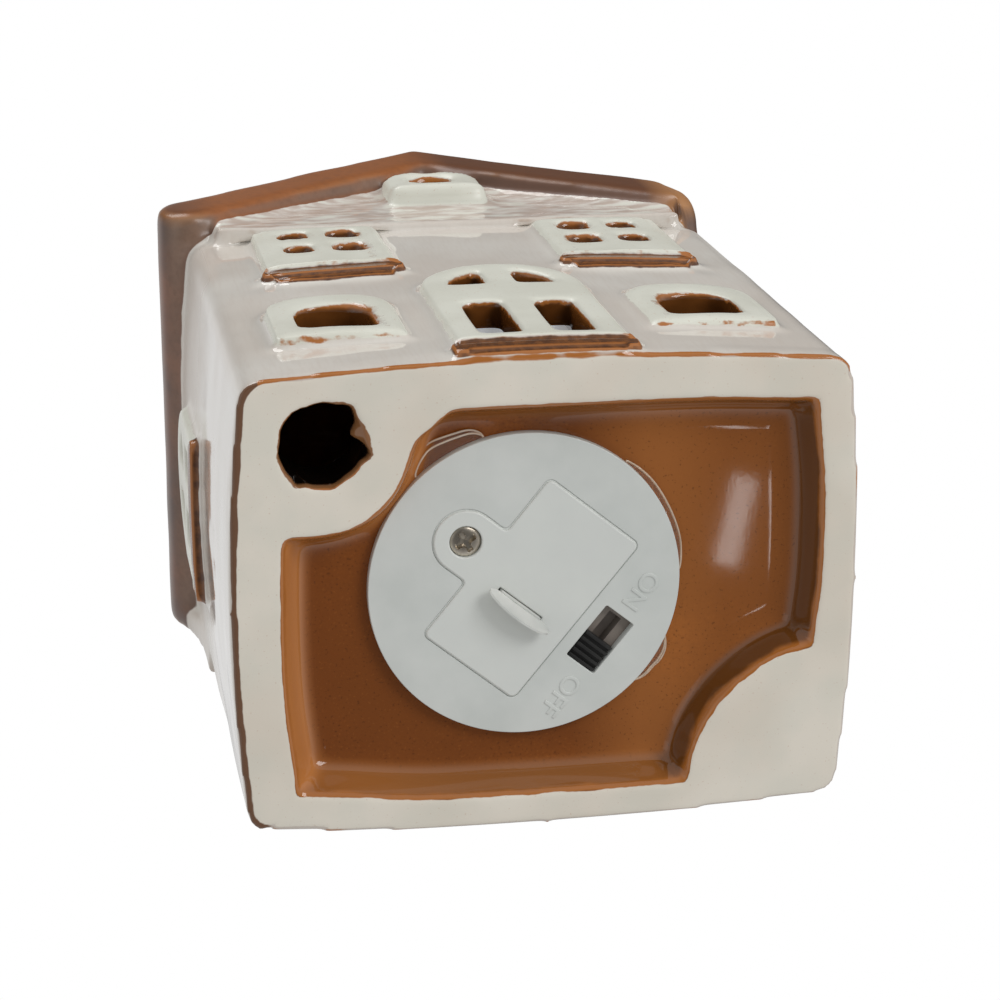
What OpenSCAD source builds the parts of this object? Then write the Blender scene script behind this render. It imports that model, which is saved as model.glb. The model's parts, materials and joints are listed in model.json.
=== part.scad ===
// Glazed ceramic village house with a battery light glued into its base.
// The house stands upright: front towards -Y, ridge along Y, base on z = 0,
// origin at the centre of the base. All sizes are in millimetres.

/* [House] */
// Width of the base, side to side
base_w = 77; // [70:1:90]
// Depth of the base, front to back
base_d = 59; // [57:1:75]
// How far each wall bows out at its middle
wall_bow = 1.5; // [0.6:0.1:2.4]
// Radius of the upright wall corners
corner_r = 3; // [1.5:0.5:5]
// Thickness of the cast ceramic
wall_t = 4.2; // [3.2:0.1:4.8]

/* [Roof] */
// Height of the flat soffit under the eaves
soffit_h = 78; // [76:0.5:84]
// Height of the ridge over the soffit
ridge_rise = 37; // [34:0.5:42]
// Upright thickness of the eaves at their outer ends
eave_t = 9; // [8:0.25:10]
// Upright thickness of the rake at the gable
rake_t = 13; // [12:0.25:14]
// Eave overhang past the bowed side walls
eave_over = 2.75; // [1.5:0.25:5]
// Gable overhang at the eaves, past the bowed front wall
gable_over = 2.5; // [2.5:0.1:5]
// How much further the ridge reaches forward than the eaves
prow = 2; // [0:0.25:4]
// Thickness of the two flared wings of the back wall
wing_t = 3.5; // [2.5:0.25:5]
// Height of the flare on the back wall
wing_h = 18; // [10:1:26]

/* [Windows] */
// How far the window frames stand out of the wall
frame_relief = 1.5; // [0.8:0.1:2]
// How far the upper sills stand out of the wall
sill_relief = 2.3; // [1.8:0.1:3.2]
// Width over the big arched window's frame
big_w = 21.6; // [19:0.2:23]
// Height of the big window's arch springing above the base
big_spring_h = 32.5; // [30:0.5:36]
// Width of the glazing bars of the arched windows
bar_w = 4.2; // [3.4:0.1:4.6]
// Distance of the small arched windows from the middle
small_x = 24; // [22.5:0.25:25]
// Width over the frames of the small arched windows
small_w = 16.4; // [14:0.2:18]
// Distance of the upper windows from the middle
upper_x = 21; // [18:0.25:23]
// Width over the frames of the upper windows
upper_w = 19.2; // [17:0.2:21]
// Height over the frames of the upper windows
upper_h = 24.5; // [22:0.25:26]
// Distance of the upper and side windows below the soffit
head_drop = 5.5; // [4.5:0.1:8]
// Distance of the gable band's lower edge below the soffit
band_drop = 3; // [2:0.1:4]
// How far the gable band stands out
band_relief = 1; // [0.4:0.1:1.5]
// Distance of the side windows behind the middle
side_y = 2.5; // [0:0.25:4]
// Width over the frames of the side windows
side_w = 22; // [18:0.5:24]

/* [Base] */
// Depth of the recess under the house
recess_depth = 5; // [4.8:0.1:6]
// Width of the standing rim at the sides, at the wall corners
side_rim = 4.1; // [3.5:0.1:5]
// Width of the standing rim at the front and back, at the wall corners
end_rim = 3.75; // [3:0.05:4.5]
// How far the recess side walls slope inwards
recess_slope = 2.6; // [1:0.1:3]
// Gap between the corner pad and the light module's flange
pad_gap = 0.55; // [0.4:0.05:2]
// Diameter of the drain hole in the front left pad
drain_d = 10.5; // [8:0.25:11]

/* [Light module] */
// Diameter of the module's flange
flange_d = 40; // [39:0.25:41]
// Thickness of the flange
flange_t = 1.4; // [1.2:0.05:1.5]
// Turn of the battery compartment about the upright axis
module_turn = 39.2; // [0:1:90]
// Diameter of one button cell
cell_d = 11.6; // [11:0.1:11.8]
// Height of one button cell
cell_h = 5.4; // [5:0.05:5.5]
// Wall of the battery compartment
box_t = 1; // [0.8:0.05:1.2]
// Thickness of the battery cover
cover_t = 1.3; // [1.2:0.05:1.3]
// Lap of the cover past the cells at the sides
cover_lap = 1.6; // [1.5:0.05:1.8]
// Head diameter of the cover screw
screw_head_d = 4; // [3.4:0.1:4.4]
// Shank diameter of the cover screw
screw_d = 1.9; // [1.6:0.05:2.1]
// Travel of the slide switch
switch_travel = 4; // [3:0.1:4]
// Width of the switch window
switch_w = 4.6; // [4.4:0.05:4.8]
// Width of the pull tab's strip
tab_w = 6.4; // [5:0.1:6.6]
// Width of the pull tab's oval head
tab_head_w = 9.8; // [8:0.1:11]
// Diameter of the light-emitting diodes
led_d = 5; // [3:0.1:5]
// Distance between the two diodes
led_gap = 9.5; // [8:0.25:11]
// Height of the diodes' domes over the base
led_h = 36; // [30:0.5:40]

/* [Hidden] */
$fn = 64;

// One overrun serves every cut
cut = 1;
// General slip clearance between plastic pieces
slip = 0.2;
// Running clearance of the screw and the slider, per side
run_gap = 0.08;

// Wall outline: steps along a side and round a corner
side_steps = 10;
corner_steps = 4;

// Places that follow the walls
half_w = base_w / 2;
half_d = base_d / 2;
front_y = half_d + wall_bow;
side_x = half_w + wall_bow;
floor_top = recess_depth + wall_t;
// How deep into a wall its raised details are rooted, and how deep its openings are cut
root_t = wall_t / 2;
bore_t = wall_t + wall_bow;

// Roof
ridge_h = soffit_h + ridge_rise;
roof_drop = ridge_rise - eave_t;
roof_hw = side_x + eave_over;
roof_slope = roof_drop / roof_hw;
roof_front = front_y + gable_over;
roof_back = front_y;
nose_r = 3.5;
nose_steps = 6;
rake_foot_x = (ridge_rise - rake_t) / roof_slope;
ceiling_drop = wall_t * sqrt(1 + roof_slope * roof_slope);

// Outlines of arches: steps, and powers for round and for basket arches
arch_steps = 16;
round_power = 2;
basket_power = 2.8;

// Big arched window
rim_w = 3.6;
big_foot_h = 3.4;
big_pane_foot_h = 6.2;
big_pane_head_h = 22.5;
big_bar_h = 9.5;
big_sill_h = 1.2;
big_sill_t = 2.4;
big_sill_lip = 0.2;
big_ledge_t = 0.9;
big_ledge_relief = 0.5;

// Small arched windows
small_foot_h = 11.8;
small_spring_h = 24;
small_rise = 7;
small_rim_w = 3.3;
small_pane_foot_h = 15.6;
small_pane_spring_h = 20.5;
small_pane_rise = 5;

// Upper windows
upper_head_h = soffit_h - head_drop;
upper_sill_h = upper_head_h - upper_h;
upper_bar_w = 3.4;
upper_pane_w = 4.3;
upper_pane_h = 4.4;
upper_pane_r = 0.7;
upper_pane_pitch = 8.7;
upper_rim_h = 3.1;
upper_corner_r = 1.5;
sill_t = 2.4;
sill_reach = 0.7;
ledge_t = 1.8;
ledge_relief = 1.3;
ledge_inset = 1.2;

// Gable band and attic window
band_h = soffit_h - band_drop;
band_half_w = half_w - corner_r - band_relief;
attic_drop = 8.5;
attic_h = ridge_h - rake_t - attic_drop;
attic_half_h = 6.2;
attic_half_w = 7;
attic_r = 3.4;
attic_sill_t = 1.8;
slot_half_w = 3.4;
slot_half_h = 2.1;
slot_r = 2;
slot_rise = 1;

// Side windows
side_rise = 10;
side_spring_h = upper_head_h - side_rise;
side_jamb_h = 16.5;
side_foot_t = 4;
side_low_pane_h = 8;
side_sill_h = side_spring_h - side_jamb_h;
side_pane_foot_h = side_sill_h + side_foot_t;
side_pane_head_h = side_pane_foot_h + side_low_pane_h;
side_bar_h = 3.5;

// Recess and its corner pads: the end slopes and the module's place along Y
// share the room that is left in front of and behind the flange
recess_w = base_w - 2 * side_rim;
recess_l = base_d - 2 * end_rim;
recess_mid = [0.9, 0.95];
end_room = (recess_l - flange_d) / 2;
end_slope_share = 0.45;
end_slope = end_slope_share * end_room;
pad_slope = 2;
drain_in = [5.25, 3.78];
drain_at = recess_mid - [recess_w, recess_l] / 2 + drain_in;

// Light module: its own axes are x across the cells and y along them
module_x = -2.4;
module_shift_share = 0.226;
module_at = [module_x, recess_mid.y - module_shift_share * end_room];
flange_r = flange_d / 2;
seat_z = recess_depth;
face_z = seat_z - flange_t;
ledge_z = face_z + cover_t;
pad_r = norm(module_at - recess_mid + [recess_w, recess_l] / 2) - flange_r - pad_slope - pad_gap;

// Battery compartment and its cover
deck_t = 1.4;
deck_lip = 0.9;
cell_gap = 0.3;
contact_t = 0.3;
tab_t = 0.3;
tab_gap = 0.1;
spring_l = 2.1;
stack_shift = 0.5;
cover_mid_x = 1;
cover_w = cell_d + 2 * cover_lap;
cover_end_lap = 3.15;
cover_r = 0.8;
tab_room = tab_t + 2 * tab_gap;
box_in_l = contact_t + 3 * cell_h + tab_room + spring_l;
box_in_w = cell_d + 2 * cell_gap;
box_y0 = stack_shift - box_in_l / 2;
box_y1 = stack_shift + box_in_l / 2;
cover_l = box_in_l + 2 * cover_end_lap;
cell_z = ledge_z + cell_gap + cell_d / 2;
roof_in_z = cell_z + cell_d / 2 + cell_gap;
box_top_z = roof_in_z + box_t;
stack_y = box_y0 + contact_t;
cell_starts = [stack_y, stack_y + cell_h, stack_y + 2 * cell_h + tab_room];
tab_y = stack_y + 2 * cell_h + tab_room / 2;
cell_end = cell_starts[2] + cell_h;
cell_cap_h = 0.3;
cell_cap_inset = 0.9;
contact_w = 8;
leaf_w = 4;

// Pull tab
tab_slot_gap = 0.3;
tab_head_h = 3.3;
tab_top_gap = 2.5;

// Screw and its ear
ear_r = 4.05;
ear_reach = 3.45;
screw_x = cover_mid_x - cover_w / 2 - ear_reach;
head_t = 0.9;
socket_w = 0.5;
boss_wall = 1.3;
boss_h = 7.5;
thread_l = 6;

// Slide switch
switch_l = 2 * switch_travel + 2 * tab_gap;
switch_rim = 1.9;
switch_lap = 0.3;
switch_x = cover_mid_x + cover_w / 2 + switch_rim + switch_w / 2;
switch_body_w = switch_w + 2 * switch_lap;
switch_body_l = switch_l + 2 * switch_lap;
switch_body_h = 4.4;
slider_inset = 0.15;
slider_ribs = 5;
stem_w = 1.8;
stem_l = 3;
stem_h = 1.8;
pin_pitch = 2.5;
pin_w = 0.9;
pin_t = 0.5;
pin_h = 2;
pin_top_z = seat_z + switch_body_h + pin_h;

// Cap over the module, and the ceramic hole round it
cap_t = 1;
cap_gap = 0.35;
cap_room = 3;
cap_in_r = norm([switch_x + switch_body_w / 2, switch_body_l / 2]) + cap_gap;
cap_r = cap_in_r + cap_t;
hole_r = cap_r + slip;

// Circuit board and resistor
board_t = 1;
board_gap = 1.6;
board_r = cap_in_r - board_gap;
board_z = box_top_z;
board_top_z = board_z + board_t;
cap_top_z = board_top_z + cap_room + cap_t;
resistor_d = 2;
resistor_l = 5.6;
resistor_at = [-5, 5];

// Diodes: where their leads leave the board, and how they lean
lead_d = 0.5;
lead_pitch = 2.54;
lead_hole_d = 4.6;
lead_rise = 2.5;
foot_shares = [0.24, -0.583];
foot_mid = board_r * foot_shares;
led_mid_x = 3.2;
led_step = 0.8;
led_wall_gap = 0.8;
led_y = led_d / 2 + led_wall_gap + wall_t - front_y;
led_body_l = 6.1;
led_rim = 0.4;
led_rim_t = 1;

// Wires and the contacts' lugs
wire_d = 1;
lug_w = 2;
lug_t = 0.8;
lug_out = 1.6;
lug_rise = 3;
lug_z = cell_z + lug_rise;
// Bends of a wire are a little thicker than the wire
knuckle_share = 1.2;

// Hot-melt glue beads: start and sweep of each, in degrees
glue_angles = [[-127, 20], [-47, 41], [25, 18]];
glue_w = 1.1;
glue_h = 1.2;

// Turns a point by quarter turns
function quarter(p, q) = q == 0 ? p : quarter([-p.y, p.x], q - 1);
// Bow of a wall at distance s from its middle
function bow_at(s, half) = wall_bow * (1 - pow(s / half, 2));
// Distance of the front wall's surface from the middle at x
function front_at(x) = half_d + bow_at(x, half_w - corner_r);
// Rounded rectangle with bowed sides
function wall_outline(w, d) = [
    for (q = [0:3])
        let (reach = (q % 2 == 0 ? w : d) / 2, half = (q % 2 == 0 ? d : w) / 2 - corner_r)
        for (p = concat(
            [for (i = [0:side_steps - 1]) let (s = half * (2 * i / side_steps - 1))
                [reach + bow_at(s, half), s]],
            [for (i = [0:corner_steps - 1]) let (a = 90 * i / corner_steps)
                [reach - corner_r + corner_r * cos(a), half + corner_r * sin(a)]]))
            quarter(p, q)
];
// Arch outline: half width, foot, springing, rise and how square its shoulders are
function arch(half, foot, spring, rise, power) = concat(
    [[-half, foot], [half, foot]],
    [for (i = [0:arch_steps]) let (a = 180 * i / arch_steps)
        [half * sign(cos(a)) * pow(abs(cos(a)), 2 / power), spring + rise * pow(sin(a), 2 / power)]]);
// Oblong outline about x = 0
function oblong(half, z0, z1) = [[-half, z0], [half, z0], [half, z1], [-half, z1]];
// Outline mirrored at x = 0, from points that run from the top down the right side
function both_sides(right) = concat(right,
    [for (i = [len(right) - 1:-1:0]) if (right[i].x > 0) [-right[i].x, right[i].y]]);

// Rounded rectangle about the origin
module soft_rect(half_x, half_y, r) {
    square([2 * (half_x - r), 2 * half_y], center = true);
    square([2 * half_x, 2 * (half_y - r)], center = true);
    for (sx = [-1, 1], sy = [-1, 1])
        translate([sx * (half_x - r), sy * (half_y - r)])
            circle(r);
}

// Block between two corners
module block(x0, x1, y0, y1, z0, z1) {
    translate([x0, y0, z0])
        cube([x1 - x0, y1 - y0, z1 - z0]);
}

// Round rod between two points
module rod(a, b, d) {
    v = b - a;
    translate(a)
        rotate([0, acos(v.z / norm(v)), atan2(v.y, v.x)])
            cylinder(h = norm(v), d = d);
}

// Bent round wire through points
module wire_run(points, d) {
    for (i = [0:len(points) - 2])
        rod(points[i], points[i + 1], d);
    for (i = [1:len(points) - 2])
        translate(points[i])
            sphere(d = d * knuckle_share);
}

// Children drawn as an x-z outline, extruded along Y through the whole house
module through_house() {
    rotate([90, 0, 0])
        linear_extrude(4 * front_y, center = true)
            children();
}

// Upright prism of the wall outline, drawn in by inset
module wall_prism(inset, z0) {
    translate([0, 0, z0])
        linear_extrude(ridge_h - z0)
            polygon(wall_outline(base_w - 2 * inset, base_d - 2 * inset));
}

// Everything under the roof planes, lowered by drop
module under_roof(drop) {
    far = roof_hw + cut;
    through_house()
        polygon(both_sides([[0, ridge_h - drop], [far, ridge_h - drop - roof_slope * far], [far, 0]]));
}

// Thick gable roof with blunt rounded eaves; the ridge reaches forward like a prow
module roof_slab() {
    nose_x = roof_hw - nose_r;
    nose_top = ridge_h - roof_slope * nose_x;
    nose_z = (nose_top + soffit_h) / 2;
    nose_h = (nose_top - soffit_h) / 2;
    nose = [for (i = [0:nose_steps]) let (a = 90 - 180 * i / nose_steps)
        [nose_x + nose_r * cos(a), nose_z + nose_h * sin(a)]];
    intersection() {
        through_house()
            polygon(both_sides(concat([[0, ridge_h]], nose,
                [[rake_foot_x, soffit_h], [0, ridge_h - rake_t]])));
        linear_extrude(ridge_h + cut)
            polygon([[-roof_hw, -roof_front], [0, -roof_front - prow], [roof_hw, -roof_front],
                [roof_hw, roof_back], [-roof_hw, roof_back]]);
    }
}

// Back wall flaring out to the ends of the eaves
module back_wing() {
    reach = roof_hw - nose_r / 2 - half_w;
    root_x = half_w - corner_r;
    foot = soffit_h - wing_h;
    translate([0, roof_back, 0])
        rotate([90, 0, 0])
            linear_extrude(wing_t)
                polygon(concat([[root_x, foot]],
                    [for (i = [0:nose_steps]) let (a = 90 * i / nose_steps)
                        [half_w + reach * (1 - cos(a)), foot + wing_h * sin(a)]],
                    [[half_w + reach, soffit_h + nose_r], [root_x, soffit_h + nose_r]]));
}

// Children drawn as an x-z outline become a plate on the front wall at x, whose surface
// lies reach in front of the middle, from inside that surface to relief outside it
module on_front(x, reach, inside, relief) {
    translate([x, inside - reach, 0])
        rotate([90, 0, 0])
            linear_extrude(inside + relief)
                children();
}

// Panes of an arched window, parted by a cross of bars
module arched_panes(half, foot, head, bar_h, spring, rise) {
    difference() {
        polygon(arch(half, foot, spring, rise, round_power));
        translate([-bar_w / 2, 0])
            square([bar_w, 2 * spring]);
        translate([-half - cut, head])
            square([2 * (half + cut), bar_h]);
    }
}

module big_panes() {
    half = big_w / 2 - rim_w;
    arched_panes(half, big_pane_foot_h, big_pane_head_h, big_bar_h, big_spring_h, half);
}

module side_panes() {
    half = side_w / 2 - rim_w;
    arched_panes(half, side_pane_foot_h, side_pane_head_h, side_bar_h, side_spring_h, side_rise - rim_w);
}

module small_pane() {
    half = small_w / 2 - small_rim_w;
    polygon(arch(half, small_pane_foot_h, small_pane_spring_h, small_pane_rise, basket_power));
}

module upper_panes() {
    top = upper_head_h - upper_rim_h - upper_pane_h / 2;
    for (row = [0, 1], side = [-1, 1])
        translate([side * (upper_bar_w + upper_pane_w) / 2, top - row * upper_pane_pitch])
            soft_rect(upper_pane_w / 2, upper_pane_h / 2, upper_pane_r);
}

// Frame, sill and ledge of the big window
module big_frame() {
    half = big_w / 2;
    on_front(0, front_y, root_t, frame_relief)
        polygon(arch(half, big_foot_h, big_spring_h, half, round_power));
    on_front(0, front_y, root_t, frame_relief + big_sill_lip)
        polygon(oblong(half + sill_reach, big_sill_h, big_sill_h + big_sill_t));
    on_front(0, front_y, root_t, big_ledge_relief)
        polygon(oblong(half - ledge_inset, big_sill_h - big_ledge_t, big_sill_h));
}

module small_frame(x) {
    on_front(x, front_at(x), root_t, frame_relief)
        polygon(arch(small_w / 2, small_foot_h, small_spring_h, small_rise, basket_power));
}

// Frame, sill and ledge of an upper window
module upper_frame(x) {
    half = upper_w / 2;
    on_front(x, front_at(x), root_t, frame_relief)
        translate([0, upper_head_h - upper_h / 2])
            soft_rect(half, upper_h / 2, upper_corner_r);
    on_front(x, front_at(x), root_t, sill_relief)
        polygon(oblong(half + sill_reach, upper_sill_h - sill_t, upper_sill_h));
    on_front(x, front_at(x), root_t, ledge_relief)
        polygon(oblong(half - ledge_inset, upper_sill_h - sill_t - ledge_t, upper_sill_h - sill_t));
}

// Band across the gable, with the frame and sill of the attic window on it
module gable_front() {
    under = ridge_h - rake_t + cut;
    on_front(0, front_y, root_t + wall_bow, band_relief)
        polygon(both_sides([[0, under], [band_half_w, under - roof_slope * band_half_w],
            [band_half_w, band_h]]));
    on_front(0, front_y, root_t, band_relief + frame_relief)
        translate([0, attic_h])
            soft_rect(attic_half_w, attic_half_h, attic_r);
    on_front(0, front_y, root_t, band_relief + sill_relief)
        polygon(oblong(attic_half_w, attic_h - attic_half_h - attic_sill_t / 2,
            attic_h - attic_half_h + attic_sill_t / 2));
}

// Turns its children from the front to a side wall: 1 is the left wall, -1 the right
module to_side(side) {
    rotate([0, 0, -90 * side])
        children();
}

module side_frame(side) {
    half = side_w / 2;
    to_side(side) {
        on_front(-side * side_y, side_x, root_t, frame_relief)
            polygon(arch(half, side_sill_h, side_spring_h, side_rise, round_power));
        on_front(-side * side_y, side_x, root_t, sill_relief)
            polygon(oblong(half + sill_reach, side_sill_h - sill_t, side_sill_h));
    }
}

// Openings of all windows, cut right through the walls
module window_openings() {
    outside = sill_relief + band_relief + cut;
    on_front(0, front_y, bore_t, outside)
        big_panes();
    on_front(0, front_y, bore_t, outside)
        translate([0, attic_h + slot_rise])
            soft_rect(slot_half_w, slot_half_h, slot_r);
    for (side = [-1, 1]) {
        on_front(side * small_x, front_at(small_x), bore_t, outside)
            small_pane();
        on_front(side * upper_x, front_at(upper_x), bore_t, outside)
            upper_panes();
        to_side(side)
            on_front(-side * side_y, side_x, bore_t, outside)
                side_panes();
    }
}

// Bar along Y whose section narrows upwards by slope on each side, like the recess walls
module sloped_bar(foot_w, length, slope) {
    flare = cut * slope / recess_depth;
    rotate([90, 0, 0])
        linear_extrude(length, center = true)
            polygon([[-foot_w / 2 - flare, -cut], [foot_w / 2 + flare, -cut],
                [foot_w / 2 - slope, recess_depth], [slope - foot_w / 2, recess_depth]]);
}

// Recess with sloping walls and two quarter-round corner pads left standing
module base_recess() {
    flare = cut * pad_slope / recess_depth;
    translate([recess_mid.x, recess_mid.y, 0])
        difference() {
            intersection() {
                sloped_bar(recess_w, 2 * recess_l, recess_slope);
                rotate([0, 0, 90])
                    sloped_bar(recess_l, 2 * recess_w, end_slope);
            }
            for (s = [-1, 1])
                translate([s * recess_w / 2, s * recess_l / 2, -cut])
                    cylinder(h = recess_depth + cut, r1 = pad_r - flare, r2 = pad_r + pad_slope);
        }
}

// Solid body of the house, before it is hollowed
module house_body() {
    intersection() {
        wall_prism(0, 0);
        under_roof(rake_t / 2);
    }
    roof_slab();
    back_wing();
    mirror([1, 0, 0])
        back_wing();
    big_frame();
    gable_front();
    for (side = [-1, 1]) {
        small_frame(side * small_x);
        upper_frame(side * upper_x);
        side_frame(side);
    }
}

// One cast and glazed ceramic piece
module house_shell() {
    color("antiquewhite")
        difference() {
            house_body();
            intersection() {
                wall_prism(wall_t, floor_top);
                under_roof(ceiling_drop);
            }
            base_recess();
            window_openings();
            translate([module_at.x, module_at.y, 0])
                cylinder(h = floor_top + cut, r = hole_r);
            translate([drain_at.x, drain_at.y, -cut])
                cylinder(h = floor_top + 2 * cut, d = drain_d);
        }
}

// Places its children in the axes of the light module
module in_module() {
    translate([module_at.x, module_at.y, 0])
        rotate([0, 0, module_turn])
            children();
}

// Beads of clear glue between the flange's edge and the recess floor
module hot_glue() {
    color("whitesmoke")
        translate([module_at.x, module_at.y, 0])
            for (bead = glue_angles)
                rotate([0, 0, bead[0]])
                    rotate_extrude(angle = bead[1])
                        polygon([[flange_r, seat_z], [flange_r + glue_w, seat_z],
                            [flange_r + glue_w / 2, seat_z - glue_h / 2], [flange_r, seat_z - glue_h]]);
}

// Outline of the battery cover with its screw ear, grown by a margin
module cover_outline(grow) {
    translate([cover_mid_x, 0])
        soft_rect(cover_w / 2 + grow, cover_l / 2 + grow, cover_r);
    translate([screw_x, 0])
        circle(ear_r + grow);
    translate([screw_x, -ear_r - grow])
        square([cover_mid_x - screw_x, 2 * (ear_r + grow)]);
}

// Flange, ledge under the cover, battery compartment and screw boss
module module_housing() {
    half_in = box_in_w / 2;
    half_out = half_in + box_t;
    color("white")
        in_module()
            difference() {
                union() {
                    translate([0, 0, face_z])
                        cylinder(h = flange_t, r = flange_r);
                    translate([0, 0, ledge_z])
                        linear_extrude(deck_t)
                            intersection() {
                                cover_outline(deck_lip);
                                circle(cap_in_r - slip);
                            }
                    block(cover_mid_x - half_out, cover_mid_x + half_out, box_y0 - box_t, box_y1 + box_t,
                        ledge_z, box_top_z);
                    translate([screw_x, 0, ledge_z])
                        cylinder(h = boss_h, d = screw_d + 2 * boss_wall);
                }
                translate([0, 0, face_z - cut])
                    linear_extrude(cover_t + cut)
                        cover_outline(slip);
                block(cover_mid_x - half_in, cover_mid_x + half_in, box_y0, box_y1, ledge_z - cut, roof_in_z);
                block(switch_x - switch_w / 2, switch_x + switch_w / 2, -switch_l / 2, switch_l / 2,
                    face_z - cut, seat_z + cut);
                translate([screw_x, 0, ledge_z - cut])
                    cylinder(h = boss_h + 2 * cut, d = screw_d + 2 * run_gap);
                block(cover_mid_x - lug_w / 2 - slip, cover_mid_x + lug_w / 2 + slip, box_y0 - box_t - cut,
                    box_y1 + box_t + cut, lug_z - lug_t / 2 - slip, lug_z + lug_t / 2 + slip);
            }
}

// Cup over the works, with a hole for each diode's leads
module module_cap() {
    color("white")
        translate([module_at.x, module_at.y, 0])
            difference() {
                translate([0, 0, seat_z])
                    cylinder(h = cap_top_z - seat_z, r = cap_r);
                translate([0, 0, seat_z - cut])
                    cylinder(h = cap_top_z - cap_t - seat_z + cut, r = cap_in_r);
                for (side = [-1, 1])
                    translate([foot_mid.x + side * led_gap / 2, foot_mid.y, cap_top_z - cap_t - cut])
                        cylinder(h = cap_t + 2 * cut, d = lead_hole_d);
            }
}

// Flush cover with a screw ear and the slot of the pull tab
module battery_cover() {
    half_slot_w = tab_w / 2 + tab_slot_gap;
    half_slot_t = tab_t / 2 + tab_slot_gap;
    color("gainsboro")
        in_module()
            difference() {
                translate([0, 0, face_z])
                    linear_extrude(cover_t)
                        cover_outline(0);
                block(cover_mid_x - half_slot_w, cover_mid_x + half_slot_w, tab_y - half_slot_t,
                    tab_y + half_slot_t, face_z - cut, face_z + cover_t + cut);
                translate([screw_x, 0, face_z - cut])
                    cylinder(h = head_t + cut, d = screw_head_d + 2 * slip);
                translate([screw_x, 0, face_z - cut])
                    cylinder(h = cover_t + 2 * cut, d = screw_d + 2 * run_gap);
            }
}

// Pan-head screw with a cross recess
module cover_screw() {
    color("silver")
        in_module()
            translate([screw_x, 0, face_z])
                difference() {
                    union() {
                        cylinder(h = head_t, d = screw_head_d);
                        translate([0, 0, head_t])
                            cylinder(h = thread_l, d = screw_d);
                    }
                    for (turn = [0, 90])
                        rotate([0, 0, turn])
                            block(-screw_head_d / 3, screw_head_d / 3, -socket_w / 2, socket_w / 2,
                                -cut, head_t / 2);
                }
}

// Thin film between the cells, with an oval head under the cover
module pull_tab() {
    head_z = face_z - slip - tab_head_h / 2;
    color("ghostwhite")
        in_module()
            translate([cover_mid_x, tab_y + tab_t / 2, 0])
                rotate([90, 0, 0])
                    linear_extrude(tab_t)
                        union() {
                            polygon(oblong(tab_w / 2, head_z, roof_in_z - tab_top_gap));
                            polygon([for (a = [0:10:350])
                                [tab_head_w / 2 * cos(a), head_z + tab_head_h / 2 * sin(a)]]);
                        }
}

// Button cell i of the stack: can and raised negative cap
module button_cell(i) {
    color("silver")
        in_module()
            translate([cover_mid_x, cell_starts[i], cell_z])
                rotate([-90, 0, 0]) {
                    cylinder(h = cell_h - cell_cap_h, d = cell_d);
                    cylinder(h = cell_h, d = cell_d - 2 * cell_cap_inset);
                }
}

// Plate of a battery contact and its lug through the compartment wall;
// the plate spans y0 to y1 and the lug runs out to lug_y
module contact(y0, y1, lug_y) {
    half = contact_w / 2;
    block(cover_mid_x - half, cover_mid_x + half, y0, y1, cell_z - half, cell_z + half);
    block(cover_mid_x - lug_w / 2, cover_mid_x + lug_w / 2, min(lug_y, y0), max(lug_y, y1),
        lug_z - lug_t / 2, lug_z + lug_t / 2);
}

module positive_contact() {
    color("gold")
        in_module()
            contact(box_y0, box_y0 + contact_t, box_y0 - box_t - lug_out);
}

// The negative contact has a leaf that leans on the last cell
module negative_contact() {
    half = contact_w / 2;
    back = -box_y1 + contact_t;
    root = back - contact_t / 2;
    tip = -cell_end;
    color("gold")
        in_module() {
            contact(box_y1 - contact_t, box_y1, box_y1 + box_t + lug_out);
            translate([cover_mid_x + leaf_w / 2, 0, cell_z])
                rotate([90, 0, -90])
                    linear_extrude(leaf_w)
                        polygon([[root, -half], [root, contact_t - half], [back, contact_t - half],
                            [tip - contact_t, 2 * contact_t], [tip - contact_t, half / 2], [tip, half / 2],
                            [tip, contact_t], [back, -half]]);
        }
}

// Moulded switch body with a channel for the slider's stem
module switch_body() {
    channel_l = stem_l + switch_travel + 2 * run_gap;
    channel_w = stem_w + 2 * run_gap;
    color("dimgray")
        in_module()
            difference() {
                block(switch_x - switch_body_w / 2, switch_x + switch_body_w / 2, -switch_body_l / 2,
                    switch_body_l / 2, seat_z, seat_z + switch_body_h);
                block(switch_x - channel_w / 2, switch_x + channel_w / 2, -channel_l / 2, channel_l / 2,
                    seat_z - cut, seat_z + stem_h + run_gap);
            }
}

module switch_terminals() {
    color("silver")
        in_module()
            for (i = [-1:1])
                block(switch_x - pin_t / 2, switch_x + pin_t / 2, i * pin_pitch - pin_w / 2,
                    i * pin_pitch + pin_w / 2, seat_z + switch_body_h, pin_top_z);
}

// Ribbed thumb block in the window, resting at its off end
module switch_slider() {
    mid = switch_travel / 2;
    rib = switch_travel / (2 * slider_ribs - 1);
    half = switch_w / 2 - slip;
    color("black")
        in_module()
            difference() {
                union() {
                    block(switch_x - half, switch_x + half, 0, switch_travel,
                        face_z + slider_inset, seat_z - run_gap);
                    block(switch_x - stem_w / 2, switch_x + stem_w / 2, mid - stem_l / 2, mid + stem_l / 2,
                        seat_z - flange_t / 2, seat_z + stem_h);
                }
                for (i = [1:slider_ribs - 1])
                    block(switch_x - half - cut, switch_x + half + cut, (2 * i - 1) * rib, 2 * i * rib,
                        face_z - cut, face_z + slider_inset + rib);
            }
}

module circuit_board() {
    color("darkgreen")
        translate([module_at.x, module_at.y, board_z])
            difference() {
                cylinder(h = board_t, r = board_r);
                for (side = [-1, 1], leg = [-1, 1])
                    translate([foot_mid.x + side * led_gap / 2 + leg * lead_pitch / 2, foot_mid.y, -cut])
                        cylinder(h = board_t + 2 * cut, d = lead_d + 2 * run_gap);
            }
}

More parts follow.
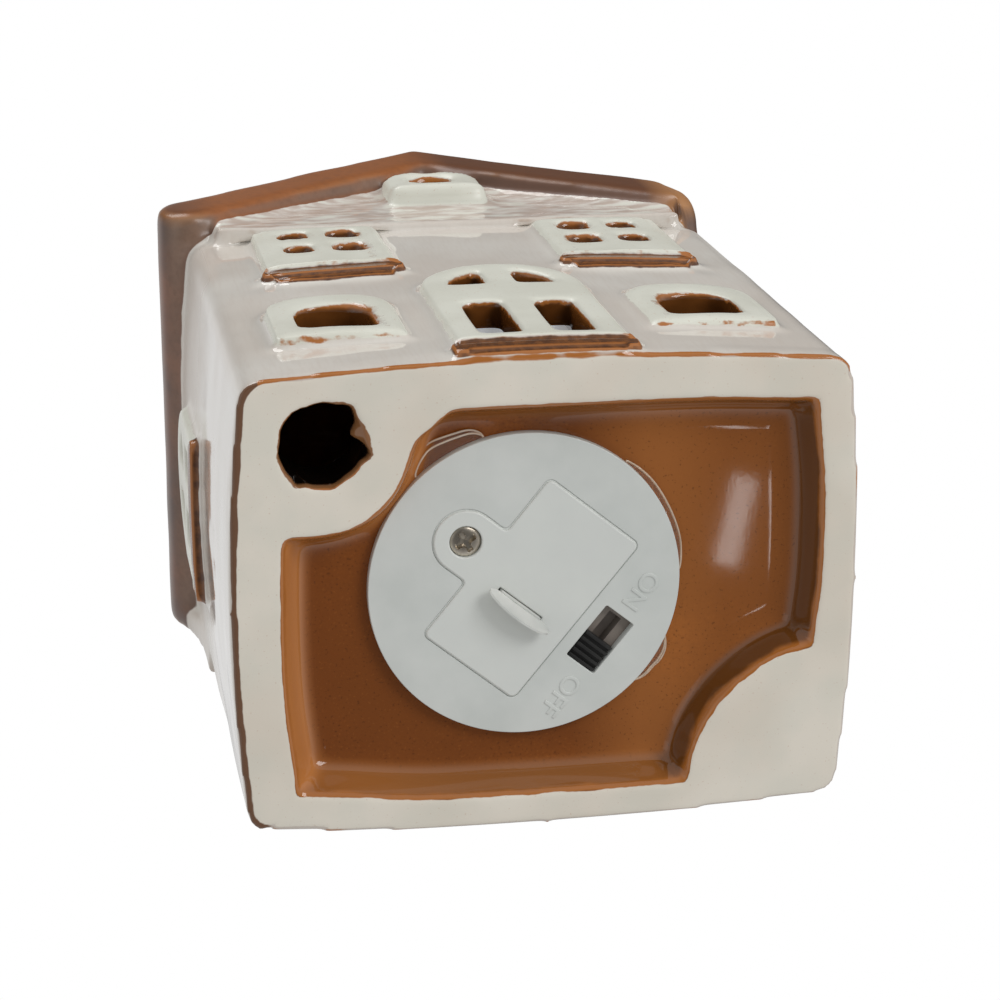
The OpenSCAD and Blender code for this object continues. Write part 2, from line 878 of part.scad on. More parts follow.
// Small resistor lying on the board, with its two bent legs
module resistor() {
    mid_z = board_top_z + resistor_d / 2;
    leg_x = resistor_l / 2 + resistor_d / 2;
    color("tan")
        in_module()
            translate([resistor_at.x, resistor_at.y, 0]) {
                rod([-resistor_l / 2, 0, mid_z], [resistor_l / 2, 0, mid_z], resistor_d);
                wire_run([[-leg_x, 0, board_top_z], [-leg_x, 0, mid_z],
                    [leg_x, 0, mid_z], [leg_x, 0, board_top_z]], lead_d);
            }
}

// Where a diode's leads leave the board, bend and meet the diode, and the middle of its dome
function foot_at(side) = [module_at.x + foot_mid.x + side * led_gap / 2, module_at.y + foot_mid.y, board_z];
function bend_at(side) = [foot_at(side).x, foot_at(side).y, cap_top_z + lead_rise];
function dome_at(side) = [led_mid_x + side * led_gap / 2, led_y, led_h - side * led_step];
function led_way(side) = (dome_at(side) - bend_at(side)) / norm(dome_at(side) - bend_at(side));
function led_foot(side) = dome_at(side) - led_body_l * led_way(side);
// Unit vector across the diode, from leg to leg
function led_across(side) = let (w = led_way(side), v = [1, 0, 0] - w.x * w) v / norm(v);

// Domed diode, leaning forward on its leads
module led(side) {
    way = led_way(side);
    color("ivory")
        translate(led_foot(side))
            rotate([0, acos(way.z), atan2(way.y, way.x)]) {
                cylinder(h = led_rim_t, d = led_d + 2 * led_rim);
                cylinder(h = led_body_l, d = led_d);
                translate([0, 0, led_body_l])
                    sphere(d = led_d);
            }
}

module led_leads(side) {
    color("silver")
        for (leg = [-1, 1]) {
            half = leg * lead_pitch / 2;
            wire_run([foot_at(side) + [half, 0, 0], bend_at(side) + [half, 0, 0],
                led_foot(side) - run_gap * led_way(side) + half * led_across(side)], lead_d);
        }
}

// From the positive lug up to the board
module red_wire() {
    y = box_y0 - box_t - lug_out + wire_d / 2;
    color("red")
        in_module()
            rod([cover_mid_x, y, lug_z + lug_t / 2], [cover_mid_x, y, board_z], wire_d);
}

// From the negative lug round the compartment to the switch's end pin
module black_wire() {
    y = box_y1 + box_t + lug_out - wire_d / 2;
    z = lug_z + lug_t / 2 + wire_d;
    corner_x = cover_mid_x + box_in_w / 2 + box_t + wire_d;
    color("black")
        in_module()
            wire_run([[cover_mid_x, y, lug_z + lug_t / 2], [cover_mid_x, y, z], [corner_x, y, z],
                [switch_x, pin_pitch, pin_top_z + 2 * wire_d], [switch_x, pin_pitch, pin_top_z]], wire_d);
}

// From the switch's middle pin up to the board
module white_wire() {
    color("white")
        in_module()
            rod([switch_x, 0, pin_top_z], [switch_x, 0, board_z], wire_d);
}

house_shell();
hot_glue();
module_housing();
module_cap();
battery_cover();
cover_screw();
pull_tab();
for (i = [0:2])
    button_cell(i);
positive_contact();
negative_contact();
switch_body();
switch_terminals();
switch_slider();
circuit_board();
resistor();
led(-1);  // led_1
led(1);  // led_2
led_leads(-1);  // led_leads_1
led_leads(1);  // led_leads_2
red_wire();
black_wire();
white_wire();
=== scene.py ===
"""Looks of a glazed ceramic village house with its battery light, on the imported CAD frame."""

import functools
import itertools
import json
import math

import bmesh
import bpy
import numpy as np
from mathutils import Matrix, Vector


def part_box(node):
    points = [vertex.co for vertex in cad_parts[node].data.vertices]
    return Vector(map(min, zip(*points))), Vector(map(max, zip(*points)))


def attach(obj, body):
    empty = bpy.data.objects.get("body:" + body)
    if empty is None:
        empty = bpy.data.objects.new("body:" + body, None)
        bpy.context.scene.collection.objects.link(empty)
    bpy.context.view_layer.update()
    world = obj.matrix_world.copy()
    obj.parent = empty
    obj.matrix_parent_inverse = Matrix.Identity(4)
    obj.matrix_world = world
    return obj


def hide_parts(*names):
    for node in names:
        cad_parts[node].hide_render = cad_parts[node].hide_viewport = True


bl_info = {
    "name": "Ceramic village house",
    "version": (1, 0, 0),
    "blender": (4, 5, 0),
    "location": "View3D > Sidebar > Village house",
    "description": "Dresses the frame of a ceramic village house with a battery light in its base",
    "category": "Object",
}

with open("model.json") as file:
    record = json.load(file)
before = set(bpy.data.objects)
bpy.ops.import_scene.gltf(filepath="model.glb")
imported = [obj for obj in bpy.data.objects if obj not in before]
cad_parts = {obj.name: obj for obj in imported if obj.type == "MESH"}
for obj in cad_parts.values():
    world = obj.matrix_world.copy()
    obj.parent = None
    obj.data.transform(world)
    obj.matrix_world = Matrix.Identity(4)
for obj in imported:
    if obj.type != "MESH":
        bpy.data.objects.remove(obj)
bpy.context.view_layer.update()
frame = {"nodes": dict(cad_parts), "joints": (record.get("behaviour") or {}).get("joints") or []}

# All sizes below are millimetres, as in the construction model, unless a name says otherwise
MM = 0.001

# Walls and roof; windows are cut in as deep as their reveals
HALF_W, HALF_D = 38.5, 29.5
WALL_BOW, CORNER_R = 1.5, 3.0
REVEAL_D = 7.0
SOFFIT_H, RIDGE_H, RAKE_T = 78.0, 115.0, 13.0
ROOF_SLOPE = 28 / 42.75
SIDE_X = HALF_W + WALL_BOW
BAND_H = 75.0

# Recess and its corner pads
RECESS_MID = (0.9, 0.95)
RECESS_HALF = (34.4, 25.75)
RECESS_DEPTH = 5.0
PAD_R = 17.0
DRAIN_AT, DRAIN_R = (-28.25, -21.02), 5.25
# Direction of the clay tongue left in the drain hole, in radians
TONGUE_WAY = -0.25

# Windows: middle, foot, springing and rise of each frame, half its width, its arch's power
SMALL_X, UPPER_X = 24, 21
FRONT_FRAMES = [
    (0, 3.4, 32.5, 10.8, 10.8, 2),
    *((x, 11.8, 24, 7, 8.2, 2.8) for x in (-SMALL_X, SMALL_X)),
    *((x, 48, 68.5, 4, 9.6, 9) for x in (-UPPER_X, UPPER_X)),
    (0, 85.4, 92, 6.4, 7.2, 3),
]
SIDE_FRAME = (2.5, 46, 62.5, 10, 11, 2)
# Sills and ledges: middle, half their width, lower and upper edge
FRONT_SILLS = [
    (0, 11.5, 1.2, 3.6),
    (0, 9.6, 0.3, 1.2),
    *((x, *sill) for x in (-UPPER_X, UPPER_X) for sill in ((10.3, 45.6, 48), (8.4, 43.8, 45.6))),
    (0, 7, 86.4, 88.2),
]
SIDE_SILL = (2.5, 11.7, 43.6, 46)
# How far frames, sills and the narrow ledges under them stand out of the wall
FRAME_OUT, SILL_OUT, LEDGE_OUT = 1.5, 1.1, 0.6

# Light module, in its own axes: x across the cells, y along them, z up into the house
FLANGE_R = 20.0
FACE_Z, SEAT_Z, LEDGE_Z = 3.6, 5.0, 4.9
COVER_MID_X, COVER_HALF_W, COVER_HALF_L = 1.0, 7.4, 12.7
COVER_T = 1.3
EAR_R, SCREW_X, SCREW_HEAD_R, SCREW_R = 4.05, -9.85, 2.0, 0.95
SWITCH_X, SWITCH_HALF_W, SWITCH_HALF_L = 12.6, 2.3, 4.1
TAB_Y = 2.3
BOX_HALF_X, BOX_T = 6.1, 1.0
BOX_Y = (-9.05, 10.05)
BORE_GAP = 0.08
BOX_FOOT_Z, BOSS_R, BOSS_TOP_Z = 6.2, 2.25, 12.4
TAB_HALF_W, TAB_HALF_T = 3.2, 0.14
LENS_R, LENS_H, RIM_R, RIM_H = 2.5, 6.1, 2.9, 1.0
ROOF_IN_Z = 17.1


def module_matrix():
    """Millimetres in the module's own axes to metres in the frame, from its housing and switch."""
    low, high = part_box("module_housing")
    slide = next(joint for joint in frame["joints"] if joint["name"] == "switch_slide")["axis"]
    turn = math.atan2(slide[0], -slide[1])
    place = Matrix.Translation(((low.x + high.x) / 2, (low.y + high.y) / 2, 0))
    return place @ Matrix.Rotation(turn, 4, "Z") @ Matrix.Scale(MM, 4)


IN_MODULE = module_matrix()
IN_HOUSE = Matrix.Scale(MM, 4)


def colour(code):
    """Linear RGBA of an sRGB hex code; a colour property comes back as it is."""
    if not isinstance(code, str):
        return code
    channels = [int(code[i:i + 2], 16) / 255 for i in (1, 3, 5)]
    linear = [c / 12.92 if c <= 0.04045 else ((c + 0.055) / 1.055) ** 2.4 for c in channels]
    return (*linear, 1.0)


def add_node(tree, kind, inputs=None, **settings):
    """Adds a node with its settings; inputs are values or other nodes' outputs, by socket."""
    made = tree.nodes.new(kind)
    for key, value in settings.items():
        setattr(made, key, value)
    for key, value in (inputs or {}).items():
        if isinstance(value, bpy.types.NodeSocket):
            tree.links.new(value, made.inputs[key])
        else:
            made.inputs[key].default_value = value
    return made


def emptied(owner):
    """Empty node tree of a material or a world."""
    owner.use_nodes = True
    owner.node_tree.nodes.clear()
    return owner.node_tree


def new_material(name):
    """Empty node material with its Principled shader."""
    material = bpy.data.materials.new(name)
    tree = emptied(material)
    shader = add_node(tree, "ShaderNodeBsdfPrincipled")
    add_node(tree, "ShaderNodeOutputMaterial", {"Surface": shader.outputs[0]})
    return material, tree, shader


def grain(tree, size, detail=2.0, stretch=(1, 1, 1)):
    """Noise in the object's own axes with grains of about size millimetres."""
    place = add_node(tree, "ShaderNodeTexCoord")
    scaled = add_node(tree, "ShaderNodeMapping", {0: place.outputs["Object"], "Scale": stretch})
    noise = add_node(tree, "ShaderNodeTexNoise",
                     {"Vector": scaled.outputs[0], "Scale": 1 / (size * MM), "Detail": detail})
    return noise.outputs[0]


def ragged_field(tree, field, wander, size, low, high):
    """Mask that rises from 0 to 1 where a stored field in millimetres goes from low to high,
    with an edge that wanders by some millimetres."""
    stored = add_node(tree, "ShaderNodeAttribute", attribute_name=field)
    rough = add_node(tree, "ShaderNodeMapRange",
                     {0: grain(tree, size, 3.0), 1: 0.3, 2: 0.7, 3: -wander, 4: wander}, clamp=False)
    moved = add_node(tree, "ShaderNodeMath", {0: stored.outputs["Fac"], 1: rough.outputs[0]},
                     operation="ADD")
    mask = add_node(tree, "ShaderNodeMapRange", {0: moved.outputs[0], 1: low, 2: high},
                    interpolation_type="SMOOTHSTEP")
    return mask.outputs[0]


def layered(tree, ground, layers):
    """Colours laid over a ground in turn. A layer is its tone and the masks that it shows through
    together. A mask is a node's output, or a tuple: a pattern or the name of a field in the mesh, the
    levels where it is 0 and where it is full, and how much full is, if not 1."""
    for tone, *masks in layers:
        share = None
        for mask in masks:
            if isinstance(mask, tuple):
                source, low, high, most = (*mask, 1.0)[:4]
                if isinstance(source, str):
                    source = add_node(tree, "ShaderNodeAttribute", attribute_name=source).outputs["Fac"]
                mask = add_node(tree, "ShaderNodeMapRange",
                                {0: source, 1: low, 2: high, 4: most}).outputs[0]
            share = mask if share is None else add_node(
                tree, "ShaderNodeMath", {0: share, 1: mask}, operation="MULTIPLY").outputs[0]
        ground = add_node(tree, "ShaderNodeMix", {0: share, 6: ground, 7: tone},
                          data_type="RGBA").outputs[2]
    return ground


def ceramic_glaze(look):
    """Slip-cast earthenware with a poured gloss glaze: smooth, wet-looking, thin and orange over
    edges, dark where it pools, and bare matte clay where the foot was wiped."""
    material, tree, shader = new_material("glazed earthenware")
    mottle = grain(tree, 9, 4.0)
    clouds = grain(tree, 24, 2.0)
    fine = grain(tree, 1.1, 4.0)
    brushed = grain(tree, 1.0, 3.0, (2.2, 1, 0.22))
    rubbed = grain(tree, 1.7, 4.0, (0.35, 1, 1.3))
    specks = grain(tree, 0.35, 1.0)
    place = add_node(tree, "ShaderNodeTexCoord")
    across = add_node(tree, "ShaderNodeSeparateXYZ", {0: place.outputs["Object"]}).outputs["X"]

    body = layered(tree, look.body, [
        (look.body_shade, (clouds, 0.4, 0.62, 0.45)),
        (look.body_shade, (brushed, 0.45, 0.65, 0.22)),
        (look.body_shade, (mottle, 0.35, 0.65, 0.2)),
        (look.body_pool, ("bend", 0.02, 0.12, 0.6)),
        (look.body_edge, ("bend", -0.05, -0.16, 0.3)),
    ])
    amber = layered(tree, look.amber, [
        (look.amber_deep, (mottle, 0.35, 0.65)),
        (look.amber_pool, ("bend", 0.01, 0.08, 0.8)),
        (look.amber_edge, ("bend", -0.04, -0.12, 0.9)),
    ])
    sill = layered(tree, look.amber, [
        (look.amber_deep, (fine, 0.35, 0.65)),
        (look.amber_edge, ("bend", -0.02, -0.1, 0.9)),
    ])
    # Glaze deeper at the far right and thin in between; the floor darker towards the left is a painted
    # shadow of the light module, the walls carry painted shade, and the walls facing the key lamp are
    # painted lighter, as lit
    recess = layered(tree, look.recess, [
        (look.recess_deep_and_shadow, (clouds, 0.36, 0.6)),
        (look.recess_deep_and_shadow, (mottle, 0.4, 0.65, 0.4)),
        (look.recess_deep_and_shadow, (fine, 0.45, 0.7, 0.55)),
        (look.recess_deep_and_shadow, (specks, 0.45, 0.6, 0.4)),
        # Painted shadow of the light module, darkening the floor towards the left
        (look.recess_deep_and_shadow, (across, 12 * MM, -24 * MM, 0.72)),
        (look.recess_thin_and_lit, (across, 4 * MM, 13 * MM, 0.35)),
        (look.recess_deep_and_shadow, (across, 16 * MM, 24 * MM, 0.5)),
        (look.amber_pool, (specks, 0.66, 0.72, 0.35)),
        (look.amber_edge, (specks, 0.34, 0.28, 0.15)),
        # Thick glaze down the recess walls, darkened further as painted shade
        (look.recess_wall_pool_and_shade, ("steep", 0.1, 0.5, 0.9)),
        # Walls facing +x, and less so along y, painted lighter as lit by the key lamp
        (look.recess_thin_and_lit, ("lit_wall", 0.15, 0.75, 0.85)),
    ])
    on_front = ("front", 0.45, 0.85, 0.8)
    roof = layered(tree, look.roof, [
        (look.roof_deep_and_shade, (mottle, 0.35, 0.65)),
        (look.roof_front, on_front),
        (look.roof_deep_and_shade, (across, -34 * MM, -40 * MM, 0.7), on_front),
        (look.soffit, ("down", 0.4, 0.85, 0.7)),
        (look.roof_deep_and_shade, (fine, 0.45, 0.7, 0.2)),
        (look.roof_deep_and_shade, ("bend", 0.02, 0.12, 0.7)),
        # Front of the rake right of the ridge painted darker, as shade with the light falling from the
        # left
        (look.roof_deep_and_shade, (across, -3 * MM, 4 * MM, 0.75), ("front", -0.2, 0.3)),
        (look.roof_edge, ("bend", -0.05, -0.16, 0.7)),
        (look.roof_edge, (across, 31 * MM, 36 * MM, 0.95), ("front", 0.1, 0.5)),
    ])
    cream = layered(tree, look.cream, [
        (look.cream_shade, (mottle, 0.4, 0.6, 0.35)),
        (look.amber_edge, (specks, 0.7, 0.74, 0.3)),
    ])
    band = layered(tree, look.band, [
        (look.body_edge, (rubbed, 0.45, 0.6, 0.5)),
        (look.cream, (rubbed, 0.5, 0.36, 0.8)),
    ])
    bare = layered(tree, look.bare, [
        (look.bare_warm, (clouds, 0.42, 0.6, 0.45)),
        (look.bare_cool, (mottle, 0.42, 0.62, 0.3)),
        (look.amber_edge, (specks, 0.7, 0.74, 0.2)),
    ])
    lip = layered(tree, look.amber_edge, [(look.lip_dark, ("left_mm", -0.5, 0.5))])

    on_roof = ragged_field(tree, "roof_mm", 0.2, 3.5, -0.2, 0.2)
    on_frame = ragged_field(tree, "frame_mm", 0.1, 2.2, -0.12, 0.14)
    on_bare = ragged_field(tree, "rim_mm", 0.14, 3.5, -0.05, 0.1)
    base = layered(tree, body, [
        (band, ragged_field(tree, "band_mm", 0.25, 1.5, -0.2, 0.3)),
        (look.body_edge, ragged_field(tree, "band_line_mm", 0.3, 5, 0.0, 0.3)),
        (roof, on_roof),
        (look.amber_edge, ragged_field(tree, "inside_mm", 0.3, 1.3, -0.15, 0.1)),
        (amber, ragged_field(tree, "inside_mm", 0.45, 1.3, 0.0, 0.6)),
        (cream, on_frame),
        (sill, ragged_field(tree, "sill_mm", 0.1, 2.2, -0.1, 0.15)),
        (look.amber_edge, ragged_field(tree, "crumb_mm", 0.16, 1.6, -0.06, 0.14)),
        (look.amber_edge, ragged_field(tree, "recess_mm", 0.1, 4, -0.22, -0.08)),
        (recess, ragged_field(tree, "recess_mm", 0.15, 4, 0.2, 0.6)),
        (bare, on_bare),
        (look.drain_ring, ragged_field(tree, "drain_mm", 0.16, 1.5, -0.1, 0.05)),
        # Near-black painted shade down inside the drain hole
        (look.drain_shade, ("drain_mm", 0.55, 0.9)),
        (lip, ragged_field(tree, "lip_mm", 0.12, 5.0, -0.05, 0.1)),
    ])
    tree.links.new(base, shader.inputs["Base Color"])

    rough = add_node(tree, "ShaderNodeMapRange",
                     {0: fine, 3: look.gloss, 4: look.gloss + 0.02}).outputs[0]
    dull = add_node(tree, "ShaderNodeAttribute", attribute_name="dull").outputs["Fac"]
    for mask, level in ((on_roof, 0.34), (dull, 0.3), (on_frame, 0.32), (on_bare, 0.78)):
        rough = add_node(tree, "ShaderNodeMix", {0: mask, 2: rough, 3: level}).outputs[0]
    tree.links.new(rough, shader.inputs["Roughness"])
    shader.inputs["IOR"].default_value = 1.5

    # Pinholes and orange peel of a fired glaze, drawn coarser than the real 0.1 mm so they show
    peel = add_node(tree, "ShaderNodeBump",
                    {"Strength": 0.015, "Distance": 0.05 * MM, "Height": grain(tree, 0.8, 3.0)})
    streaks = add_node(tree, "ShaderNodeBump",
                       {"Strength": 0.01, "Distance": 0.05 * MM, "Height": brushed,
                        "Normal": peel.outputs[0]})
    tree.links.new(streaks.outputs[0], shader.inputs["Normal"])
    return material


def two_toned(name, tones, patches, skin, gloss, **sockets):
    """Material of two tones in soft patches under a fine relief. Patches: grain size, detail and the
    levels between which they show. Skin: strength, depth, grain size and stretch of the relief.
    Gloss: grain size, least and most roughness. Sockets: more inputs, with _ for a space."""
    material, tree, shader = new_material(name)
    size, detail, low, high = patches
    base = layered(tree, colour(tones[0]), [(colour(tones[1]), (grain(tree, size, detail), low, high))])
    tree.links.new(base, shader.inputs["Base Color"])
    size, least, most = gloss
    rough = add_node(tree, "ShaderNodeMapRange", {0: grain(tree, size, 2.0), 3: least, 4: most})
    tree.links.new(rough.outputs[0], shader.inputs["Roughness"])
    strength, depth, size, *stretch = skin
    relief = add_node(tree, "ShaderNodeBump", {"Strength": strength, "Distance": depth * MM,
                                               "Height": grain(tree, size, 2.0, *stretch)})
    tree.links.new(relief.outputs[0], shader.inputs["Normal"])
    for socket, value in sockets.items():
        shader.inputs[socket.replace("_", " ")].default_value = value
    return material


def moulded_plastic(name, tone, shade, roughness, texture, translucency=0.0, painted_glow=0.0):
    """Injection-moulded plastic: one tone with faint flow marks, a fine spark-eroded skin that spreads
    the highlight, a little light let through where it is thin, and an optional painted glow in its own
    tone."""
    return two_toned(name, (tone, shade), (7, 3.0, 0.3, 0.7), (0.2, 0.02, texture),
                     (1.5, roughness - 0.05, roughness + 0.05), IOR=1.5,
                     Transmission_Weight=translucency, Emission_Color=colour(tone),
                     Emission_Strength=painted_glow)


def plated_metal(name, tone, shade, roughness, texture):
    """Plated or rolled metal: bright, with fine drawing marks and slight tarnish in patches."""
    return two_toned(name, (tone, shade), (2.5, 3.0, 0.35, 0.7), (0.2, 0.02, texture, (1, 6, 1)),
                     (0.8, roughness - 0.06, roughness + 0.08), Metallic=1.0)


def clear_glue(name, tone, roughness):
    """Hot-melt glue set from a drop: clear, smooth and slightly wavy, with small bubbles."""
    return two_toned(name, (tone, "#e6e0d8"), (0.9, 2.0, 0.62, 0.7), (0.4, 0.1, 1.2),
                     (1, roughness, roughness), IOR=1.48, Transmission_Weight=0.95)


def solder_mask(name, tone, shade):
    """Paper laminate with a green solder mask: satin, with faint copper tracks under it."""
    material, tree, shader = new_material(name)
    place = add_node(tree, "ShaderNodeTexCoord")
    black, white = (0, 0, 0, 1), (1, 1, 1, 1)
    tracks = add_node(tree, "ShaderNodeTexBrick",
                      {"Vector": place.outputs["Object"], "Scale": 1 / (6 * MM), "Color1": black,
                       "Color2": black, "Mortar": white, "Mortar Size": 0.06}).outputs[0]
    base = layered(tree, colour(tone), [(colour(shade), tracks)])
    tree.links.new(base, shader.inputs["Base Color"])
    shader.inputs["Roughness"].default_value = 0.35
    lift = add_node(tree, "ShaderNodeBump", {"Strength": 0.4, "Distance": 0.04 * MM, "Height": tracks})
    tree.links.new(lift.outputs[0], shader.inputs["Normal"])
    return material


def finished_mesh(mesh, place):
    """Welds a mesh in millimetres, turns its faces outwards and puts it in its place in metres."""
    work = bmesh.new()
    work.from_mesh(mesh)
    bmesh.ops.remove_doubles(work, verts=work.verts, dist=0.0005)
    bmesh.ops.dissolve_degenerate(work, edges=work.edges, dist=0.0001)
    bmesh.ops.recalc_face_normals(work, faces=work.faces)
    work.to_mesh(mesh)
    work.free()
    mesh.transform(place)
    mesh.shade_smooth()
    mesh.set_sharp_from_angle(angle=math.radians(38))
    return mesh


def new_object(name, data):
    """New object, linked to the scene."""
    made = bpy.data.objects.new(name, data)
    bpy.context.scene.collection.objects.link(made)
    return made


def from_object(made):
    """Mesh of an object with its modifiers applied; the object goes."""
    graph = bpy.context.evaluated_depsgraph_get()
    mesh = bpy.data.meshes.new_from_object(made.evaluated_get(graph))
    data = made.data
    bpy.data.objects.remove(made)
    if isinstance(data, bpy.types.Curve):
        bpy.data.curves.remove(data)
    return mesh


def from_work(work, name):
    """Mesh of a bmesh, which goes."""
    mesh = bpy.data.meshes.new(name)
    work.to_mesh(mesh)
    work.free()
    return mesh


def joined(meshes, name):
    """One mesh out of several."""
    work = bmesh.new()
    for mesh in meshes:
        work.from_mesh(mesh)
        bpy.data.meshes.remove(mesh)
    return from_work(work, name)


def put_piece(name, mesh, material, body, nodes):
    """The finished piece: on its body, in the place of its CAD nodes, with its material slot."""
    piece = new_object(name, mesh)
    mesh.materials.clear()
    mesh.materials.append(material)
    if nodes:
        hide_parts(*nodes)
    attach(piece, body)
    return piece


def dress_node(node, material):
    """A material for a CAD node that shows as it is."""
    mesh = frame["nodes"][node].data
    mesh.materials.clear()
    mesh.materials.append(material)


def circle(middle, radius, steps):
    """Closed circle of points."""
    angles = [math.radians(360 * i / steps) for i in range(steps)]
    return [(middle[0] + radius * math.cos(a), middle[1] + radius * math.sin(a)) for a in angles]


def rounded(corners, steps=6):
    """Closed outline through corners (x, y, radius), each rounded by its radius."""
    points = []
    for i, (x, y, radius) in enumerate(corners):
        here = Vector((x, y))
        back = (Vector(corners[i - 1][:2]) - here).normalized()
        ahead = (Vector(corners[(i + 1) % len(corners)][:2]) - here).normalized()
        half = back.angle(ahead) / 2
        reach = radius / math.tan(half)
        middle = here + (back + ahead).normalized() * radius / math.sin(half)
        first = here + back * reach - middle
        last = here + ahead * reach - middle
        sweep = first.angle_signed(last)
        for k in range(steps + 1):
            turned = first.copy()
            turned.rotate(Matrix.Rotation(-sweep * k / steps, 2))
            points.append(tuple(middle + turned))
    return points


def oblong(mid_x, mid_y, half_x, half_y, radius):
    """Closed rectangle with round corners."""
    return rounded([(mid_x + sx * half_x, mid_y + sy * half_y, radius)
                    for sx, sy in ((-1, -1), (1, -1), (1, 1), (-1, 1))])


def cover_outline(grow):
    """Outline of the battery cover with its screw ear, grown by a margin."""
    left, right = COVER_MID_X - COVER_HALF_W - grow, COVER_MID_X + COVER_HALF_W + grow
    end, ear = COVER_HALF_L + grow, EAR_R + grow
    tip = SCREW_X - ear
    corner = 0.8 + grow
    return rounded([
        (right, -end, corner), (right, end, corner), (left, end, corner), (left, ear, 0.7),
        (tip, ear, ear * 0.999), (tip, -ear, ear * 0.999), (left, -ear, 0.7), (left, -end, corner),
    ], 12)


def add_line(curve, points, closed=False):
    """Straight-sided line through points in a curve."""
    spline = curve.splines.new("POLY")
    spline.points.add(len(points) - 1)
    spline.use_cyclic_u = closed
    for made, point in zip(spline.points, points):
        made.co = (*point, 1)


def plate(loops, low, high, edge):
    """Flat plate between two heights from an outline and its holes, with edges rounded by edge."""
    curve = bpy.data.curves.new("plate", "CURVE")
    curve.dimensions = "2D"
    curve.fill_mode = "BOTH"
    curve.extrude = (high - low) / 2 - edge
    curve.bevel_depth = edge
    curve.bevel_resolution = 2
    curve.offset = -edge
    for loop in loops:
        add_line(curve, [(x, y, 0) for x, y in loop], closed=True)
    mesh = from_object(new_object("plate", curve))
    mesh.transform(Matrix.Translation((0, 0, (low + high) / 2)))
    mesh = finished_mesh(mesh, IN_MODULE)
    for face in mesh.polygons:
        face.use_smooth = abs(face.normal.z) < 0.999
    return mesh


def lofted(rings, place=IN_HOUSE, capped=False):
    """Body through closed rings of points, with or without caps at its ends."""
    around = len(rings[0])
    vertices = [point for ring in rings for point in ring]
    faces = [(i * around + k, i * around + (k + 1) % around,
              (i + 1) * around + (k + 1) % around, (i + 1) * around + k)
             for i in range(len(rings) - 1) for k in range(around)]
    if capped:
        faces += [tuple(range(around)), tuple(len(vertices) - around + k for k in range(around))]
    mesh = bpy.data.meshes.new("shape")
    mesh.from_pydata(vertices, [], faces)
    return finished_mesh(mesh, place)


def turned(profile, place, steps):
    """Body turned from a profile of (radius, height) points."""
    return lofted([[(x, y, height) for x, y in circle((0, 0), radius, steps)]
                   for radius, height in profile], place)


def wire(points, radius, round_off):
    """Round wire through points, its bends rounded, with closed ends."""
    curve = bpy.data.curves.new("wire", "CURVE")
    curve.dimensions = "3D"
    curve.bevel_depth = radius
    curve.bevel_resolution = 5
    curve.use_fill_caps = True
    path = [Vector(points[0])]
    for before, here, after in zip(points, points[1:], points[2:]):
        here = Vector(here)
        back, ahead = Vector(before) - here, Vector(after) - here
        reach = min(round_off, back.length * 0.45, ahead.length * 0.45)
        start, end = here + back.normalized() * reach, here + ahead.normalized() * reach
        path += [start.lerp(here, t).lerp(here.lerp(end, t), t) for t in np.linspace(0, 1, 9)]
    add_line(curve, [*path, Vector(points[-1])])
    return finished_mesh(from_object(new_object("wire", curve)), IN_HOUSE)


def rounded_block(low, high, edge):
    """Block between two corners with rounded edges."""
    work = bmesh.new()
    bmesh.ops.create_cube(work, size=1)
    low, high = Vector(low), Vector(high)
    for vertex in work.verts:
        vertex.co = [low[k] + (vertex.co[k] + 0.5) * (high[k] - low[k]) for k in range(3)]
    bmesh.ops.bevel(work, geom=work.edges[:], offset=edge, segments=2, profile=0.5, affect="EDGES")
    return finished_mesh(from_work(work, "block"), IN_MODULE)


def lumps(points, size, seed):
    """Smooth noise from -1 to 1 at millimetre points, with lumps of about that size."""
    count = 32
    lattice = np.random.default_rng(seed).uniform(-1, 1, (count, count, count))
    scaled = points / np.asarray(size)
    cell = np.floor(scaled).astype(int)
    part = scaled - cell
    part = part * part * (3 - 2 * part)
    total = np.zeros(len(points))
    for corner in itertools.product((0, 1), repeat=3):
        share = np.prod(np.where(np.array(corner), part, 1 - part), axis=1)
        at = (cell + corner) % count
        total += share * lattice[at[:, 0], at[:, 1], at[:, 2]]
    return total


def ramp(value, low, high):
    """Smooth step from 0 at low to 1 at high."""
    t = np.clip((value - low) / (high - low), 0, 1)
    return t * t * (3 - 2 * t)


def plateau(value, low, full, fading, high):
    """Smooth rise from 0 at low to 1 at full, and back to 0 from fading to high."""
    return ramp(value, low, full) * (1 - ramp(value, fading, high))


def hump(value, middle, wide):
    """Bell curve, 1 in its middle."""
    return np.exp(-(((value - middle) / wide) ** 2))


def only(there, field):
    """A field where a condition holds, and far outside elsewhere."""
    return np.where(there, field, -9.0)


def inside_all(*reaches):
    """How far a point lies inside several shapes at once."""
    return functools.reduce(np.minimum, reaches)


def rake_height(x):
    """Height of the underside of the roof's front edge, which runs up the gable."""
    return np.maximum(SOFFIT_H, RIDGE_H - RAKE_T - ROOF_SLOPE * np.abs(x))


def from_drain(x, y):
    """Distance and direction of points from the middle of the drain hole."""
    dx, dy = x - DRAIN_AT[0], y - DRAIN_AT[1]
    return np.hypot(dx, dy), np.arctan2(dy, dx)


def wall_height(x, y):
    """How far a point stands out of the walls' outline; negative inside."""
    reach_x = HALF_W + WALL_BOW * np.clip(1 - (y / (HALF_D - CORNER_R)) ** 2, 0, 1)
    reach_y = HALF_D + WALL_BOW * np.clip(1 - (x / (HALF_W - CORNER_R)) ** 2, 0, 1)
    over_x, over_y = np.abs(x) - reach_x + CORNER_R, np.abs(y) - reach_y + CORNER_R
    outside = np.hypot(np.maximum(over_x, 0), np.maximum(over_y, 0))
    return outside + np.minimum(np.maximum(over_x, over_y), 0) - CORNER_R


